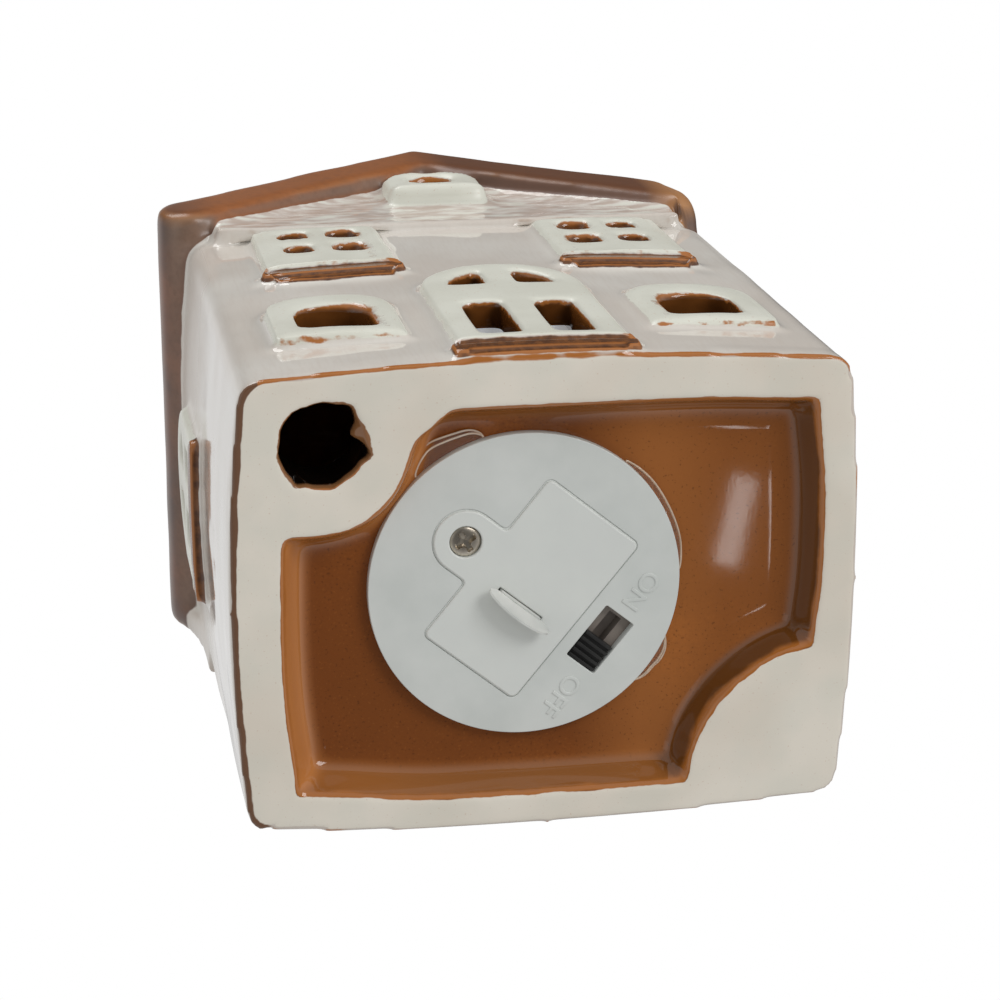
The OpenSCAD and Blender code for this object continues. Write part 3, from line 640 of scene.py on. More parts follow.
def recess_reach(x, y):
    """How far a point lies inside the recess outline at the foot of the house."""
    dx, dy = x - RECESS_MID[0], y - RECESS_MID[1]
    reach = np.minimum(RECESS_HALF[0] - np.abs(dx), RECESS_HALF[1] - np.abs(dy))
    for sign in (-1, 1):
        pad = np.hypot(dx - sign * RECESS_HALF[0], dy - sign * RECESS_HALF[1]) - PAD_R
        reach = np.minimum(reach, pad)
    return reach


def arch_reach(u, z, window):
    """How far a point lies inside a window frame's outline."""
    middle, foot, spring, rise, half, power = window
    away = np.abs(u - middle)
    below = np.minimum(half - away, z - foot)
    ratio = (away / half) ** power + (np.maximum(z - spring, 0) / rise) ** power
    above = (1 - ratio ** (1 / power)) * min(half, rise)
    return np.where(z > spring, above, below)


def relaxed(points, ends, weight, turns):
    """Points drawn towards the middle of their neighbours, by weight, some times over."""
    one, other = ends
    size = len(points)
    count = np.bincount(one, minlength=size) + np.bincount(other, minlength=size)
    weight = np.broadcast_to(weight, size)[:, None]
    points = points.copy()
    for _ in range(turns):
        middle = np.stack([
            np.bincount(one, axis[other], size) + np.bincount(other, axis[one], size)
            for axis in points.T], axis=1) / count[:, None]
        points += weight * (middle - points)
    return points


def mesh_arrays(mesh):
    """Vertex places in millimetres and the ends of the edges."""
    points = np.empty(len(mesh.vertices) * 3, np.float32)
    mesh.vertices.foreach_get("co", points)
    ends = np.empty(len(mesh.edges) * 2, np.int32)
    mesh.edges.foreach_get("vertices", ends)
    return points.reshape(-1, 3).astype(float) / MM, ends.reshape(-1, 2).T


def mesh_normals(mesh, points):
    """Vertex normals once the points are stored in the mesh."""
    mesh.vertices.foreach_set("co", (points * MM).astype(np.float32).ravel())
    mesh.update()
    normals = np.empty(len(mesh.vertices) * 3, np.float32)
    mesh.vertices.foreach_get("normal", normals)
    return normals.reshape(-1, 3).astype(float)


def cast_shell(look):
    """The ceramic body as it leaves the kiln: the frame's shell with glaze-filled corners, softened
    edges, uneven walls, a rough gable band and a chipped drain hole, and the fields of its glaze."""
    made = new_object("shell", frame["nodes"]["house_shell"].data.copy())
    made.modifiers.new("cast", "REMESH").voxel_size = look.grain
    mesh = from_object(made)
    drawn, ends = mesh_arrays(mesh)
    normals = mesh_normals(mesh, drawn)
    store(mesh, glaze_fields(drawn, normals), ends)

    x, y, z = drawn.T
    proud, reach = wall_height(x, y), recess_reach(x, y)
    in_recess = ramp(reach, -0.5, 1.5) * plateau(z, 0.3, 1.6, 6, 8)
    on_roof = ramp(z, SOFFIT_H - 2, SOFFIT_H) * ramp(proud, -1, 0)
    on_walls = ramp(z, 0.1, 1.2) * ramp(proud, -4, -1)
    points = drawn
    for weight, turns in ((0.5, 4), (0.5 * np.maximum(in_recess, on_walls), 7),
                          (0.5 * in_recess, 18), (0.2 * on_roof, 60)):
        points = relaxed(points, ends, weight, turns)
    on_floor = ramp(reach, 3.5, 6) * (np.abs(z - RECESS_DEPTH) < 0.6) * (normals[:, 2] < -0.9)
    points[:, 2] += on_floor * (RECESS_DEPTH - points[:, 2])

    points = shifted_windows(settled_relief(points, drawn), drawn)
    normals = mesh_normals(mesh, points)
    wave = 0.15 * lumps(points, 15, 3) + 0.05 * lumps(points, 6, 4)
    floor_wave = 0.003 * lumps(points, 13, 5) * in_recess
    chips = 0.2 * lumps(points, (5, 3, 2.2), 6) + 0.06 * lumps(points, (2.2, 1.5, 1.2), 7)
    swell = wave * ramp(z, 1.0, 4.0) * (1 - in_recess) + floor_wave
    points = points + normals * swell[:, None]
    points[:, 1] -= chips * ramp(band_reach(x, y, z), 0.6, 2.5)
    points = uneven_recess(chipped_drain(points))
    normals = mesh_normals(mesh, points)

    soft = relaxed(points, ends, 0.5, 8)
    store(mesh, {
        "bend": np.einsum("ij,ij->i", soft - points, normals),
        "steep": 1 - np.abs(normals[:, 2]),
        "front": -normals[:, 1] * ramp(-y, 24, 28),
        "down": -normals[:, 2],
        "dull": ramp(z, 22, 62) * ramp(np.abs(x), HALF_W - 4, HALF_W - 1),
        # Which way a point faces the key lamp, for the recess walls painted lighter as lit
        "lit_wall": 0.9 * normals[:, 0] + 0.45 * np.abs(normals[:, 1]),
    })
    mesh.shade_smooth()
    return mesh


def settled_relief(points, drawn):
    """Window frames sunk into the thick glaze, deepest at the right, low sills, and the big window's
    glazing bars cut thinner than the wall behind them."""
    x, y, z = drawn.T
    proud = wall_height(x, y)
    out = points.copy()
    cap = np.full(len(z), FRAME_OUT)
    for middle, half, low, high in FRONT_SILLS:
        on_sill = ramp(half + 1 - np.abs(x - middle), 0, 0.6) \
            * plateau(z, low - 0.4, low - 0.1, high - 0.1, high + 0.2)
        sunk_by = FRAME_OUT - (SILL_OUT if half > 9.7 else LEDGE_OUT)
        cap = np.minimum(cap, FRAME_OUT - sunk_by * on_sill)
    share = 1.15 - 0.25 * ramp(x, -30, 34) * (1 - ramp(z, 30, 45))
    front = (y < -HALF_D + 2) & (z < BAND_H - 0.5) & (z > 0.2) & (proud > 0)
    out[:, 1] += np.where(front, proud - np.minimum(proud, cap) * share, 0)
    beside = (np.abs(x) > HALF_W - 2) & (z < SOFFIT_H - 2) & (np.abs(y) < HALF_D - CORNER_R)
    out[:, 0] -= np.sign(x) * np.where(beside & (proud > 0), proud - np.minimum(proud, 1.9) * 0.9, 0)
    bar = np.maximum(ramp(8.2 - np.abs(x), 0, 0.8) * plateau(z, 20.5, 22, 32.5, 34),
                     ramp(2.8 - np.abs(x), 0, 0.8) * plateau(z, 5, 7, 40, 42))
    back = -HALF_D + 0.6
    deep = (y > back - 1) & (y < -HALF_D + REVEAL_D)
    out[:, 1] -= np.where(deep, np.maximum(out[:, 1] - back, 0) * bar, 0)
    return out


def shifted_windows(points, drawn):
    """Windows a little higher, the upper ones narrower, the attic's stood forward, and the right end
    of the front eave worn round."""
    x, y, z = drawn.T
    out = points.copy()
    front = (1 - ramp(y, -25, -22)) * (1 - ramp(z, 72.8, 75.2))
    out[:, 2] += 0.9 * front * ramp(z, 0.6, 2.5)
    for middle, across in ((-UPPER_X, 0.4), (UPPER_X, -0.2)):
        near = ramp(12.5 - np.abs(x - middle), 0, 2) * ramp(z, 41.5, 43.6) * front
        out[:, 0] += near * (across - 0.06 * (x - middle))
        out[:, 2] += near * 1.5
    for middle in (-SMALL_X, SMALL_X):
        near = ramp(10 - np.abs(x - middle), 0, 2) * front
        out[:, 2] += 1.8 * near * plateau(z, 14, 33, 36, 41)
    out[:, 1] -= 1.2 * ramp(7.7 - np.abs(x), 0, 0.5) * ramp(z, 85, 86) \
        * ramp(rake_height(x) - z, 0.4, 2) * ramp(wall_height(x, y), 1.4, 2)
    worn = ramp(-y, 14, 30) * ramp(x, 33, 42) * ramp(z, SOFFIT_H - 3, SOFFIT_H)
    out[:, 0] -= (3.6 + 1.6 * ramp(-y, 29, 35.5)) * worn
    return out


def band_reach(x, y, z):
    """How far a point lies inside the rough band across the gable."""
    return inside_all(z - BAND_H - 0.6, rake_height(x) - z, -arch_reach(x, z, FRONT_FRAMES[-1]),
                      HALF_W - CORNER_R - 1 - np.abs(x), np.where(y < -HALF_D + 1.0, 3, -3))


def chipped_drain(points):
    """Drain hole with three chipped corners and a tongue of clay left standing at its right."""
    x, y, z = points.T
    away, angle = from_drain(x, y)
    near = (1 - ramp(away, DRAIN_R + 0.4, DRAIN_R + 2.2)) * (1 - ramp(z, 7, 10))
    move = 0.1 * np.sin(5 * angle + 0.7) + 0.06 * np.sin(11 * angle)
    # Direction, spread and depth of each chip
    for middle, wide, deep in ((-0.9, 0.22, 0.5), (0.26, 0.16, 0.7), (2.13, 0.14, 0.75)):
        move += deep * hump(angle, middle, wide) * (1 - ramp(z, 0.6, 2.5))
    move -= 1.35 * hump(angle, TONGUE_WAY, 0.22) * plateau(z, 0.2, 1.2, 2.2, 4)
    out = points.copy()
    out[:, 0] += near * move * np.cos(angle)
    out[:, 1] += near * move * np.sin(angle)
    return out


def uneven_recess(points):
    """Recess with its corners pulled in where the clay stands fuller, as the mould left them."""
    x, y, z = points.T
    there = ramp(recess_reach(x, y), -3.5, -0.6) * (1 - ramp(z, 6, 9))
    out = points.copy()
    # Each corner, how far the fuller clay spreads and which way it pushes
    for at, spread, push in (
            ((35.3, -24.8), (11, 9), (-1.2, 0.7)),
            ((35.3, 9.7), (8, 7), (-0.8, -0.8)),
            ((-33.5, 26.7), (13, 11), (1.4, -1.8)),
            ((-33.5, -7.8), (7, 6), (0.2, -1.5)),
            ((-21.5, -12.8), (6, 6), (0.55, 0.4)),
            ((-16.5, -24.8), (3, 2.6), (2.2, 1.2))):
        near = hump(x, at[0], spread[0]) * hump(y, at[1], spread[1]) * there
        out[:, :2] += near[:, None] * push
    return out


def store(mesh, fields, ends=None):
    """Writes fields of one value a point into the mesh, first evened out along its edges."""
    for name, values in fields.items():
        values = np.clip(values, -1.5, 3)
        if ends is not None:
            values = relaxed(values[:, None], ends, 0.6, 3)[:, 0]
        kept = mesh.attributes.new(name, "FLOAT", "POINT")
        kept.data.foreach_set("value", values.astype(np.float32))


def window_fields(across, z, proud, down, windows, lifts, depths):
    """Cream field of window frames and the field of the openings in them."""
    cream, opening = [], []
    for window, lift, depth in zip(windows, lifts, depths):
        reach = arch_reach(across, z, window)
        bar = 1.9 if lift else 1.4
        stand = proud - lift
        in_reveal = stand - FRAME_OUT + 0.4 + depth * down
        cream.append(np.minimum(reach + 0.25, np.where(reach < bar, stand - 0.4, in_reveal)))
        opening.append(only(reach > bar, -in_reveal))
    return np.maximum.reduce(cream), np.maximum.reduce(opening)


def sill_fields(across, z, proud, sills):
    """Brown field of sills and ledges, and the field of the bright line along their upper edge."""
    brown, line = [], []
    for middle, half, low, high in sills:
        side = half + 0.35 - np.abs(across - middle)
        brown.append(inside_all(side, z - low + 0.6, high - z, proud - 0.1))
        edge = 0.16 - np.abs(z - high - 0.1) + 0.5 * ramp(across - middle, half - 2.4, half - 0.4)
        line.append(only(high - low > 2, inside_all(side, edge, proud - 0.5)))
    return np.maximum.reduce(brown), np.maximum.reduce(line)


def drain_field(x, y, z):
    """Field of the glaze round the drain hole and down its wall, broken by the tongue of clay."""
    away, angle = from_drain(x, y)
    ring = 0.1 + 0.1 * ramp(np.abs(angle), 1.8, 2.6)
    # Direction, spread and extra width of the ring's thicker and thinner places
    for middle, wide, more in ((-0.15, 0.4, 0.5), (-1.15, 0.3, 0.42),
                               (2.35, 0.2, 0.4), (0.9, 0.5, -0.15)):
        ring += more * hump(angle, middle, wide)
    tongue = 0.7 * hump(angle, TONGUE_WAY, 0.3) * (1 - ramp(z, 2.5, 4))
    inner = DRAIN_R + ring - away + (0.6 - 0.6 * tongue) * np.clip(z, 0, 4) - tongue * ramp(z, 0.2, 1)
    on_tongue = np.maximum(inner, 0.15 * (tongue > 0.05))
    return only((z < 12) & (away < DRAIN_R + 3), np.where(inner > -0.6 * tongue, on_tongue, inner))


def glaze_fields(points, normals):
    """Fields in millimetres that tell the glaze where each colour lies; above 0 is inside."""
    x, y, z = points.T
    up = normals[:, 2]
    down = np.clip(-up, 0, 1)
    proud, recess, under = wall_height(x, y), recess_reach(x, y), rake_height(x)
    gable = (y < 0) & (np.abs(x) < SIDE_X)
    roof = np.where(gable, z - under + 0.1, z - SOFFIT_H + 0.3)
    soffit = gable & (proud > 0.4) & (down > 0.35) & (z > under - 1.5)
    over_attic = gable & (proud > 0.8) & (np.abs(x) < 8.5) & (z > 98.6)
    roof = only((proud > -2.2) | (up > 0.5), np.where(soffit | over_attic, 1, roof))

    front = y < -HALF_D + REVEAL_D
    beside = (np.abs(x) > HALF_W - REVEAL_D) & (np.abs(y) < HALF_D - CORNER_R)
    frames, opening = window_fields(x, z, proud, down, FRONT_FRAMES, (0, 0, 0, 0, 0, 0.5),
                                    (-0.25, -0.25, -0.25, -0.25, -0.25, -0.4))
    side_frames, side_opening = window_fields(y, z, proud, down, [SIDE_FRAME], (0,), (0.5,))
    attic_ceiling = front & (np.abs(x) < 3.3) & (np.abs(z - 96.2) < 1.2) & (down > 0.4)
    frames = np.maximum(only(front & (z < under - 0.2) & ~attic_ceiling, frames),
                        only(beside, side_frames))
    opening = np.maximum(only(front, np.where(attic_ceiling, 0.8, opening)), only(beside, side_opening))

    sills, crumbs = sill_fields(x, z, proud, FRONT_SILLS[:-1])
    side_sills, side_crumbs = sill_fields(y, z, proud, [SIDE_SILL])
    sills = only(proud > 0, np.maximum(only(front, sills), only(beside, side_sills)))
    crumbs = np.maximum(only(front, crumbs), only(beside, side_crumbs))
    for middle, foot, _, _, half, _ in FRONT_FRAMES[1:3]:
        line = np.minimum(half + 0.4 - np.abs(x - middle), 0.3 - np.abs(z - foot + 0.25))
        crumbs = np.maximum(crumbs, only(front & (proud > 0.15), line))

    # Brown line round the foot: broadest at the left, then at the front
    left = x < -HALF_W + 2.6
    ahead = y < -HALF_D + 2
    middle = np.select([left, ahead], [-0.45, 0.15], 0.0)
    width = np.select([left, ahead], [0.62, 0.6], 0.3)
    lip = width - np.abs(z + np.minimum(proud, 0.4) - middle)
    return {
        "roof_mm": roof,
        "band_mm": band_reach(x, y, z),
        "band_line_mm": only((np.abs(x) > 8) & (y < -HALF_D + 1.5), 0.15 - np.abs(z - BAND_H - 0.1)),
        "inside_mm": np.maximum(opening, only((z <= SOFFIT_H) | (up <= 0.2), -proud - 1.6)),
        "frame_mm": only(sills <= 0.15, frames),
        "sill_mm": sills,
        "crumb_mm": crumbs,
        "recess_mm": only((z < RECESS_DEPTH + 1.2) & (proud < -1.5), recess),
        "drain_mm": drain_field(x, y, z),
        "rim_mm": only(up < -0.6, inside_all(0.6 - z, -recess - 0.08, -proud - 0.1)),
        "lip_mm": only((proud > -3) & (z < 3), lip),
        "left_mm": np.where(left, 3.0, -3.0),
    }


def tone(name, description, code):
    """Colour property with an sRGB default."""
    return bpy.props.FloatVectorProperty(name=name, description=description, subtype="COLOR", size=4,
                                         min=0, max=1, default=colour(code))


def length(name, description, value):
    """Length property in metres with a default in millimetres."""
    return bpy.props.FloatProperty(name=name, description=description, unit="LENGTH",
                                   default=value * MM, precision=5)


class HouseGlaze(bpy.types.PropertyGroup):
    """Sizes and colours of the ceramic body and its glaze."""

    grain: length("Grain", "Spacing of the cast surface's points", 0.5)
    gloss: bpy.props.FloatProperty(name="Gloss", description="Roughness of the glaze", default=0.03)
    body: tone("Body glaze", "Greige glaze of the walls", "#d8d3cb")
    body_shade: tone("Body shade", "Streaks and clouds in the wall glaze", "#c9beb3")
    body_pool: tone("Body pool", "Wall glaze where it runs thick", "#dedbd3")
    body_edge: tone("Body edge", "Wall glaze where it breaks over edges", "#a58b78")
    band: tone("Gable band", "Rough band across the gable", "#d2c9c1")
    amber: tone("Amber glaze", "Brown glaze inside and on sills", "#74461f")
    amber_deep: tone("Deep amber", "Clouds in the brown glaze", "#4f2c12")
    amber_pool: tone("Pooled amber", "Brown glaze where it runs thick", "#331d0d")
    amber_edge: tone("Amber edge", "Brown glaze where it breaks over edges", "#a9682f")
    drain_ring: tone("Drain ring", "Glaze round the drain hole", "#8a5f3c")
    # Painted shade inside the drain hole
    drain_shade: tone("Drain shade", "Inside of the drain hole", "#0d0805")
    recess: tone("Recess", "Amber glaze on the recess floor", "#9a5722")
    # Also the painted shadow of the light module at the left of the recess floor
    recess_deep_and_shadow: tone("Deep recess and shadow", "Clouds on the recess floor", "#76411a")
    # Also the recess walls painted lighter where they face the key lamp, as lit
    recess_thin_and_lit: tone("Thin and lit recess", "Thin recess glaze, and walls painted lighter as lit", "#c57f44")
    # Thick glaze, darkened further as painted shade on the recess walls
    recess_wall_pool_and_shade: tone("Recess wall", "Thick glaze down the recess walls", "#5f3917")
    roof: tone("Roof glaze", "Brown glaze of the roof", "#754424")
    # Also painted shade on the front of the roof right of the ridge
    roof_deep_and_shade: tone("Deep roof and shade", "Clouds in the roof glaze", "#4b2b17")
    roof_front: tone("Roof front", "Roof glaze on its front", "#9c5a24")
    roof_edge: tone("Roof edge", "Roof glaze where it breaks over edges", "#b57f4d")
    soffit: tone("Soffit", "Glaze under the eaves", "#8b7464")
    cream: tone("Cream glaze", "Window frames", "#dcdcd0")
    cream_shade: tone("Cream shade", "Clouds in the cream glaze", "#c6c5b7")
    lip_dark: tone("Dark lip", "Brown line at the left edge of the foot", "#6b4a33")
    bare: tone("Bare clay", "Wiped foot of the house", "#e0d9cc")
    bare_warm: tone("Warm clay", "Faint stains on the wiped foot", "#cfc3b3")
    bare_cool: tone("Cool clay", "Faint clouds on the wiped foot", "#cacbbf")


class ModuleLook(bpy.types.PropertyGroup):
    """Sizes and colours of the battery light."""

    edge: length("Edge", "Rounding of the moulded edges", 0.12)
    white: tone("White plastic", "Flange and cap", "#d2d5d1")
    cover: tone("Cover", "White plastic of the battery cover", "#d7dad5")
    white_shade: tone("White shade", "Flow marks in the white plastic", "#c8ccc8")
    black: tone("Black plastic", "Switch", "#2e2e2c")
    nickel: tone("Nickel", "Screw and pins", "#ded6c8")
    film: tone("Film", "Pull tab", "#f3f4ef")


class StageLook(bpy.types.PropertyGroup):
    """Floor, lamps and background."""

    floor: tone("Floor", "Plain pale floor", "#e6e5e2")
    fill: bpy.props.FloatProperty(name="Fill", description="Light from all round", default=0.55)
    floor_reach: length("Floor reach", "Radius at which the floor has faded out", 700)


class VILLAGE_OT_ceramic_shell(bpy.types.Operator):
    """Cast and glazed ceramic house"""

    bl_idname = "village.ceramic_shell"
    bl_label = "Ceramic house"

    def execute(self, context):
        look = context.scene.house_glaze
        put_piece("ceramic_house", cast_shell(look), ceramic_glaze(look), "house", ["house_shell"])
        return {"FINISHED"}


class VILLAGE_OT_module_moulding(bpy.types.Operator):
    """Flange, battery compartment, switch window and screw boss of the light"""

    bl_idname = "village.module_moulding"
    bl_label = "Module moulding"

    def execute(self, context):
        look = context.scene.module_look
        window = oblong(SWITCH_X, 0, SWITCH_HALF_W, SWITCH_HALF_L, 0.25)
        mid_y, half_y = sum(BOX_Y) / 2, (BOX_Y[1] - BOX_Y[0]) / 2
        compartment = oblong(COVER_MID_X, mid_y, BOX_HALF_X, half_y, 0.4)
        compartment_out = oblong(COVER_MID_X, mid_y, BOX_HALF_X + BOX_T, half_y + BOX_T, 0.8)
        bore = circle((SCREW_X, 0), SCREW_R + BORE_GAP, 32)
        flange = [circle((0, 0), FLANGE_R, 192), cover_outline(0.2), window]
        parts = [
            plate(flange, FACE_Z, SEAT_Z, look.edge / MM),
            plate([cover_outline(0.9), compartment, bore], LEDGE_Z + 0.02, BOX_FOOT_Z + 0.1, 0.1),
            plate([compartment_out, compartment], BOX_FOOT_Z, ROOF_IN_Z, 0.1),
            plate([compartment_out], ROOF_IN_Z - 0.05, ROOF_IN_Z + BOX_T, 0.3),
            plate([circle((SCREW_X, 0), BOSS_R, 48), bore], BOX_FOOT_Z, BOSS_TOP_Z, 0.1),
        ]
        material = moulded_plastic("moulded white polystyrene", look.white, look.white_shade,
                                   0.42, 0.25)
        put_piece("module_moulding", joined(parts, "moulding"), material, "house", ["module_housing"])
        letters = [raised_word("ON", (12.6, -8.2)), raised_word("OFF", (13.2, 8.8))]
        put_piece("switch_marks", joined(letters, "marks"), material, "house", [])
        return {"FINISHED"}


def raised_word(word, middle):
    """Word moulded on the flange beside the switch window, read from the cover's side."""
    text = bpy.data.curves.new(word, "FONT")
    text.body = word
    text.size = 3.5
    text.align_x, text.align_y = "CENTER", "CENTER"
    text.extrude = 0.03
    text.bevel_depth = 0.09
    text.bevel_resolution = 2
    text.offset = -0.03
    # Seen from below the foot, so the word is turned over about its own line
    turn = Matrix(((0, 1, 0, 0), (1, 0, 0, 0), (0, 0, -1, 0), (0, 0, 0, 1)))
    return finished_mesh(from_object(new_object(word, text)),
                         IN_MODULE @ Matrix.Translation((*middle, FACE_Z)) @ turn)


class VILLAGE_OT_battery_cover(bpy.types.Operator):
    """Flush battery cover with its screw ear and tab slot"""

    bl_idname = "village.battery_cover"
    bl_label = "Battery cover"

    def execute(self, context):
        look = context.scene.module_look
        slot = oblong(COVER_MID_X, TAB_Y, TAB_HALF_W + 0.3, TAB_HALF_T + 0.1, 0.12)
        # Outline's growth, hole's radius and steps, heights above the face and edge of each plate: the
        # lower plate's lip closes the gap round the cover to a shallow groove, and the head lies open
        parts = [plate([cover_outline(grow), slot, circle((SCREW_X, 0), hole, steps)],
                       FACE_Z + low, FACE_Z + high, edge)
                 for grow, hole, steps, low, high, edge in (
                     (0.03, SCREW_HEAD_R + 0.05, 48, -0.22, 0.9, 0.2),
                     (0.17, SCREW_HEAD_R + 0.15, 48, 0.1, 1.0, 0.05),
                     (0.17, SCREW_R + BORE_GAP, 32, 0.9, COVER_T, 0.05))]
        material = moulded_plastic("moulded white cover", look.cover, look.white, 0.4, 0.25)
        put_piece("cover_moulding", joined(parts, "cover"), material, "cover", ["battery_cover"])
        return {"FINISHED"}


def head_height(radius, angle):
    """Height of the screw's head at a place: its dome, with the cross cut into it."""
    arm, across = sorted((radius * abs(math.cos(angle)), radius * abs(math.sin(angle))), reverse=True)
    dome = 0.52 * (1 - (radius / SCREW_HEAD_R) ** 2) ** 0.5
    narrow = 0.36 + 0.3 * max(0.0, 0.7 - arm)
    inside = min(1, max(0, (narrow - across) / 0.06)) * min(1, max(0, (1.38 - arm) / 0.08))
    return 0.33 - dome + inside * (1.15 - 0.3 * arm)


class VILLAGE_OT_cover_screw(bpy.types.Operator):
    """Nickel-plated screw with a cross recess"""

    bl_idname = "village.cover_screw"
    bl_label = "Cover screw"

    def execute(self, context):
        look = context.scene.module_look
        around, count, cross_turn = 120, 30, 0.37
        rim, foot, pitch, tip = SCREW_HEAD_R * 0.98, 0.88, 0.22, 6.85
        rings = [[(x, y, head_height(rim * i / count, 2 * math.pi * j / around - cross_turn))
                  for j, (x, y) in enumerate(circle((0, 0), rim * i / count, around))]
                 for i in range(count + 1)]
        rings.append([(x, y, foot) for x, y in circle((0, 0), rim, around)])
        in_ear = IN_MODULE @ Matrix.Translation((SCREW_X, 0, FACE_Z))
        thread = [(SCREW_R - (pitch if i % 2 else 0), 1.0 + pitch * i) for i in range(25)]
        shank = turned([(rim, foot), (SCREW_R, foot), *thread, (0, tip)], in_ear, 40)
        material = plated_metal("nickel-plated steel", look.nickel, "#b9afa0", 0.3, 0.4)
        put_piece("cross_head_screw", joined([lofted(rings, in_ear), shank], "screw"), material,
                  "screw", ["cover_screw"])
        return {"FINISHED"}


class VILLAGE_OT_pull_tab(bpy.types.Operator):
    """Thin film between the cells, its oval head folded over the slot"""

    bl_idname = "village.pull_tab"
    bl_label = "Pull tab"

    def execute(self, context):
        look = context.scene.module_look
        steps, rows = 40, 10
        head_w, head_h, lean, fold = 4.88, 1.6, math.radians(21), FACE_Z - 0.2
        rings = []
        for i in range(steps + 1):
            across = head_w * math.cos(math.pi * i / steps)
            half = head_h * math.sin(math.pi * i / steps)
            bow = 0.12 * (1 - (across / head_w) ** 2)
            drops = [head_h + half - 2 * half * row / rows for row in range(rows + 1)]
            sheet = [(COVER_MID_X + across, TAB_Y + drop * math.sin(lean) + bow,
                      fold - drop * math.cos(lean)) for drop in drops]
            rings.append([(x, y - TAB_HALF_T, z) for x, y, z in sheet]
                         + [(x, y + TAB_HALF_T, z) for x, y, z in reversed(sheet)])
        strip = rounded_block((COVER_MID_X - TAB_HALF_W, TAB_Y - TAB_HALF_T, fold - 0.5),
                              (COVER_MID_X + TAB_HALF_W, TAB_Y + TAB_HALF_T, ROOF_IN_Z - 2.5), 0.05)
        material = moulded_plastic("translucent polyester film", look.film, look.white, 0.3, 0.3, 0.25)
        put_piece("tab_film", joined([lofted(rings, IN_MODULE), strip], "tab"), material, "tab",
                  ["pull_tab"])
        return {"FINISHED"}


class VILLAGE_OT_switch(bpy.types.Operator):
    """Slide switch: ribbed thumb block, body and pins"""

    bl_idname = "village.switch"
    bl_label = "Slide switch"

    def execute(self, context):
        look = context.scene.module_look
        half = SWITCH_HALF_W - 0.22
        top = FACE_Z + 0.15
        # Half width, both ends along the slide, both heights and edge: five ribs, their bed, the stem
        blocks = [(half, 0.05 + 0.88 * i, 0.46 + 0.88 * i, top, SEAT_Z - 0.1, 0.07) for i in range(5)]
        blocks += [(half, 0.02, 3.98, top + 0.45, SEAT_Z - 0.08, 0.05),
                   (0.9, 0.5, 3.5, SEAT_Z - 0.3, SEAT_Z + 1.8, 0.1)]
        thumb = [rounded_block((SWITCH_X - wide, start, low), (SWITCH_X + wide, end, high), edge)
                 for wide, start, end, low, high, edge in blocks]
        black = moulded_plastic("moulded black acetal", look.black, "#1b1b1b", 0.45, 0.3)
        put_piece("switch_thumb", joined(thumb, "thumb"), black, "slider", ["switch_slider"])
        dress_node("switch_body",
                   moulded_plastic("moulded grey switch body", "#857c74", "#71675f", 0.5, 0.4))
        dress_node("switch_terminals",
                   plated_metal("tinned brass pins", "#c8c4bb", "#a7a299", 0.35, 0.3))
        return {"FINISHED"}


class VILLAGE_OT_hot_glue(bpy.types.Operator):
    """Clear glue beads at the flange's edge, with raised lines along their rims in a milky tone that
    paints their highlights
    """

    bl_idname = "village.hot_glue"
    bl_label = "Hot-melt glue"

    def execute(self, context):
        middle = IN_MODULE.to_translation() / MM
        edge_r = FLANGE_R + 0.1

        def at(out, angle, height):
            return (middle.x + out * math.cos(angle), middle.y + out * math.sin(angle), height)

        beads, lines = [], []
        # Start and sweep in degrees, reach from the edge and rise of each bead
        for start, sweep, reach, rise in ((-133, 28, 2.3, 0.35), (-50, 48, 0.75, 0.25),
                                          (24, 20, 1.2, 0.35)):
            rings, edges = [], ([], [])
            for t in (i / (2 * sweep) for i in range(2 * sweep + 1)):
                a = math.radians(start + sweep * t)
                swell = 0.05 + 0.95 * math.sin(math.pi * t) ** 0.6
                size = swell * (1 + 0.12 * math.sin(9 * t + start))
                rings.append([at(edge_r + reach * size * u, a, SEAT_Z + 0.02 + rise * size * v)
                              for u, v in circle((0, 0), 1, 14)])
                for edge, share, back in zip(edges, (1.0, 0.72), (0.35, 0.55)):
                    edge.append(at(edge_r + reach * size * share, a,
                                   SEAT_Z - back + 0.05 * math.sin(23 * t)))
            beads.append(lofted(rings, capped=True))
            lines += [wire(edge, 0.13, 0.3) for edge in edges[:2 if rise > 0.3 else 1]]
        clear = clear_glue("set hot-melt glue", "#f6f1ea", 0.03)
        # Raised lines along the bead rims, in a milky tone that paints the glue's bright edge
        # highlights
        rim_glint = moulded_plastic("glue rims painted as highlights", "#e6d8c8", "#c9ae92", 0.12, 0.5, 0.3)
        for name, mesh, glue, nodes in (("glue_beads", joined(beads, "glue"), clear, ["hot_glue"]),
                                        ("glue_rim_glints", joined(lines, "lines"), rim_glint, [])):
            put_piece(name, mesh, glue, "house", nodes).visible_shadow = False
        return {"FINISHED"}


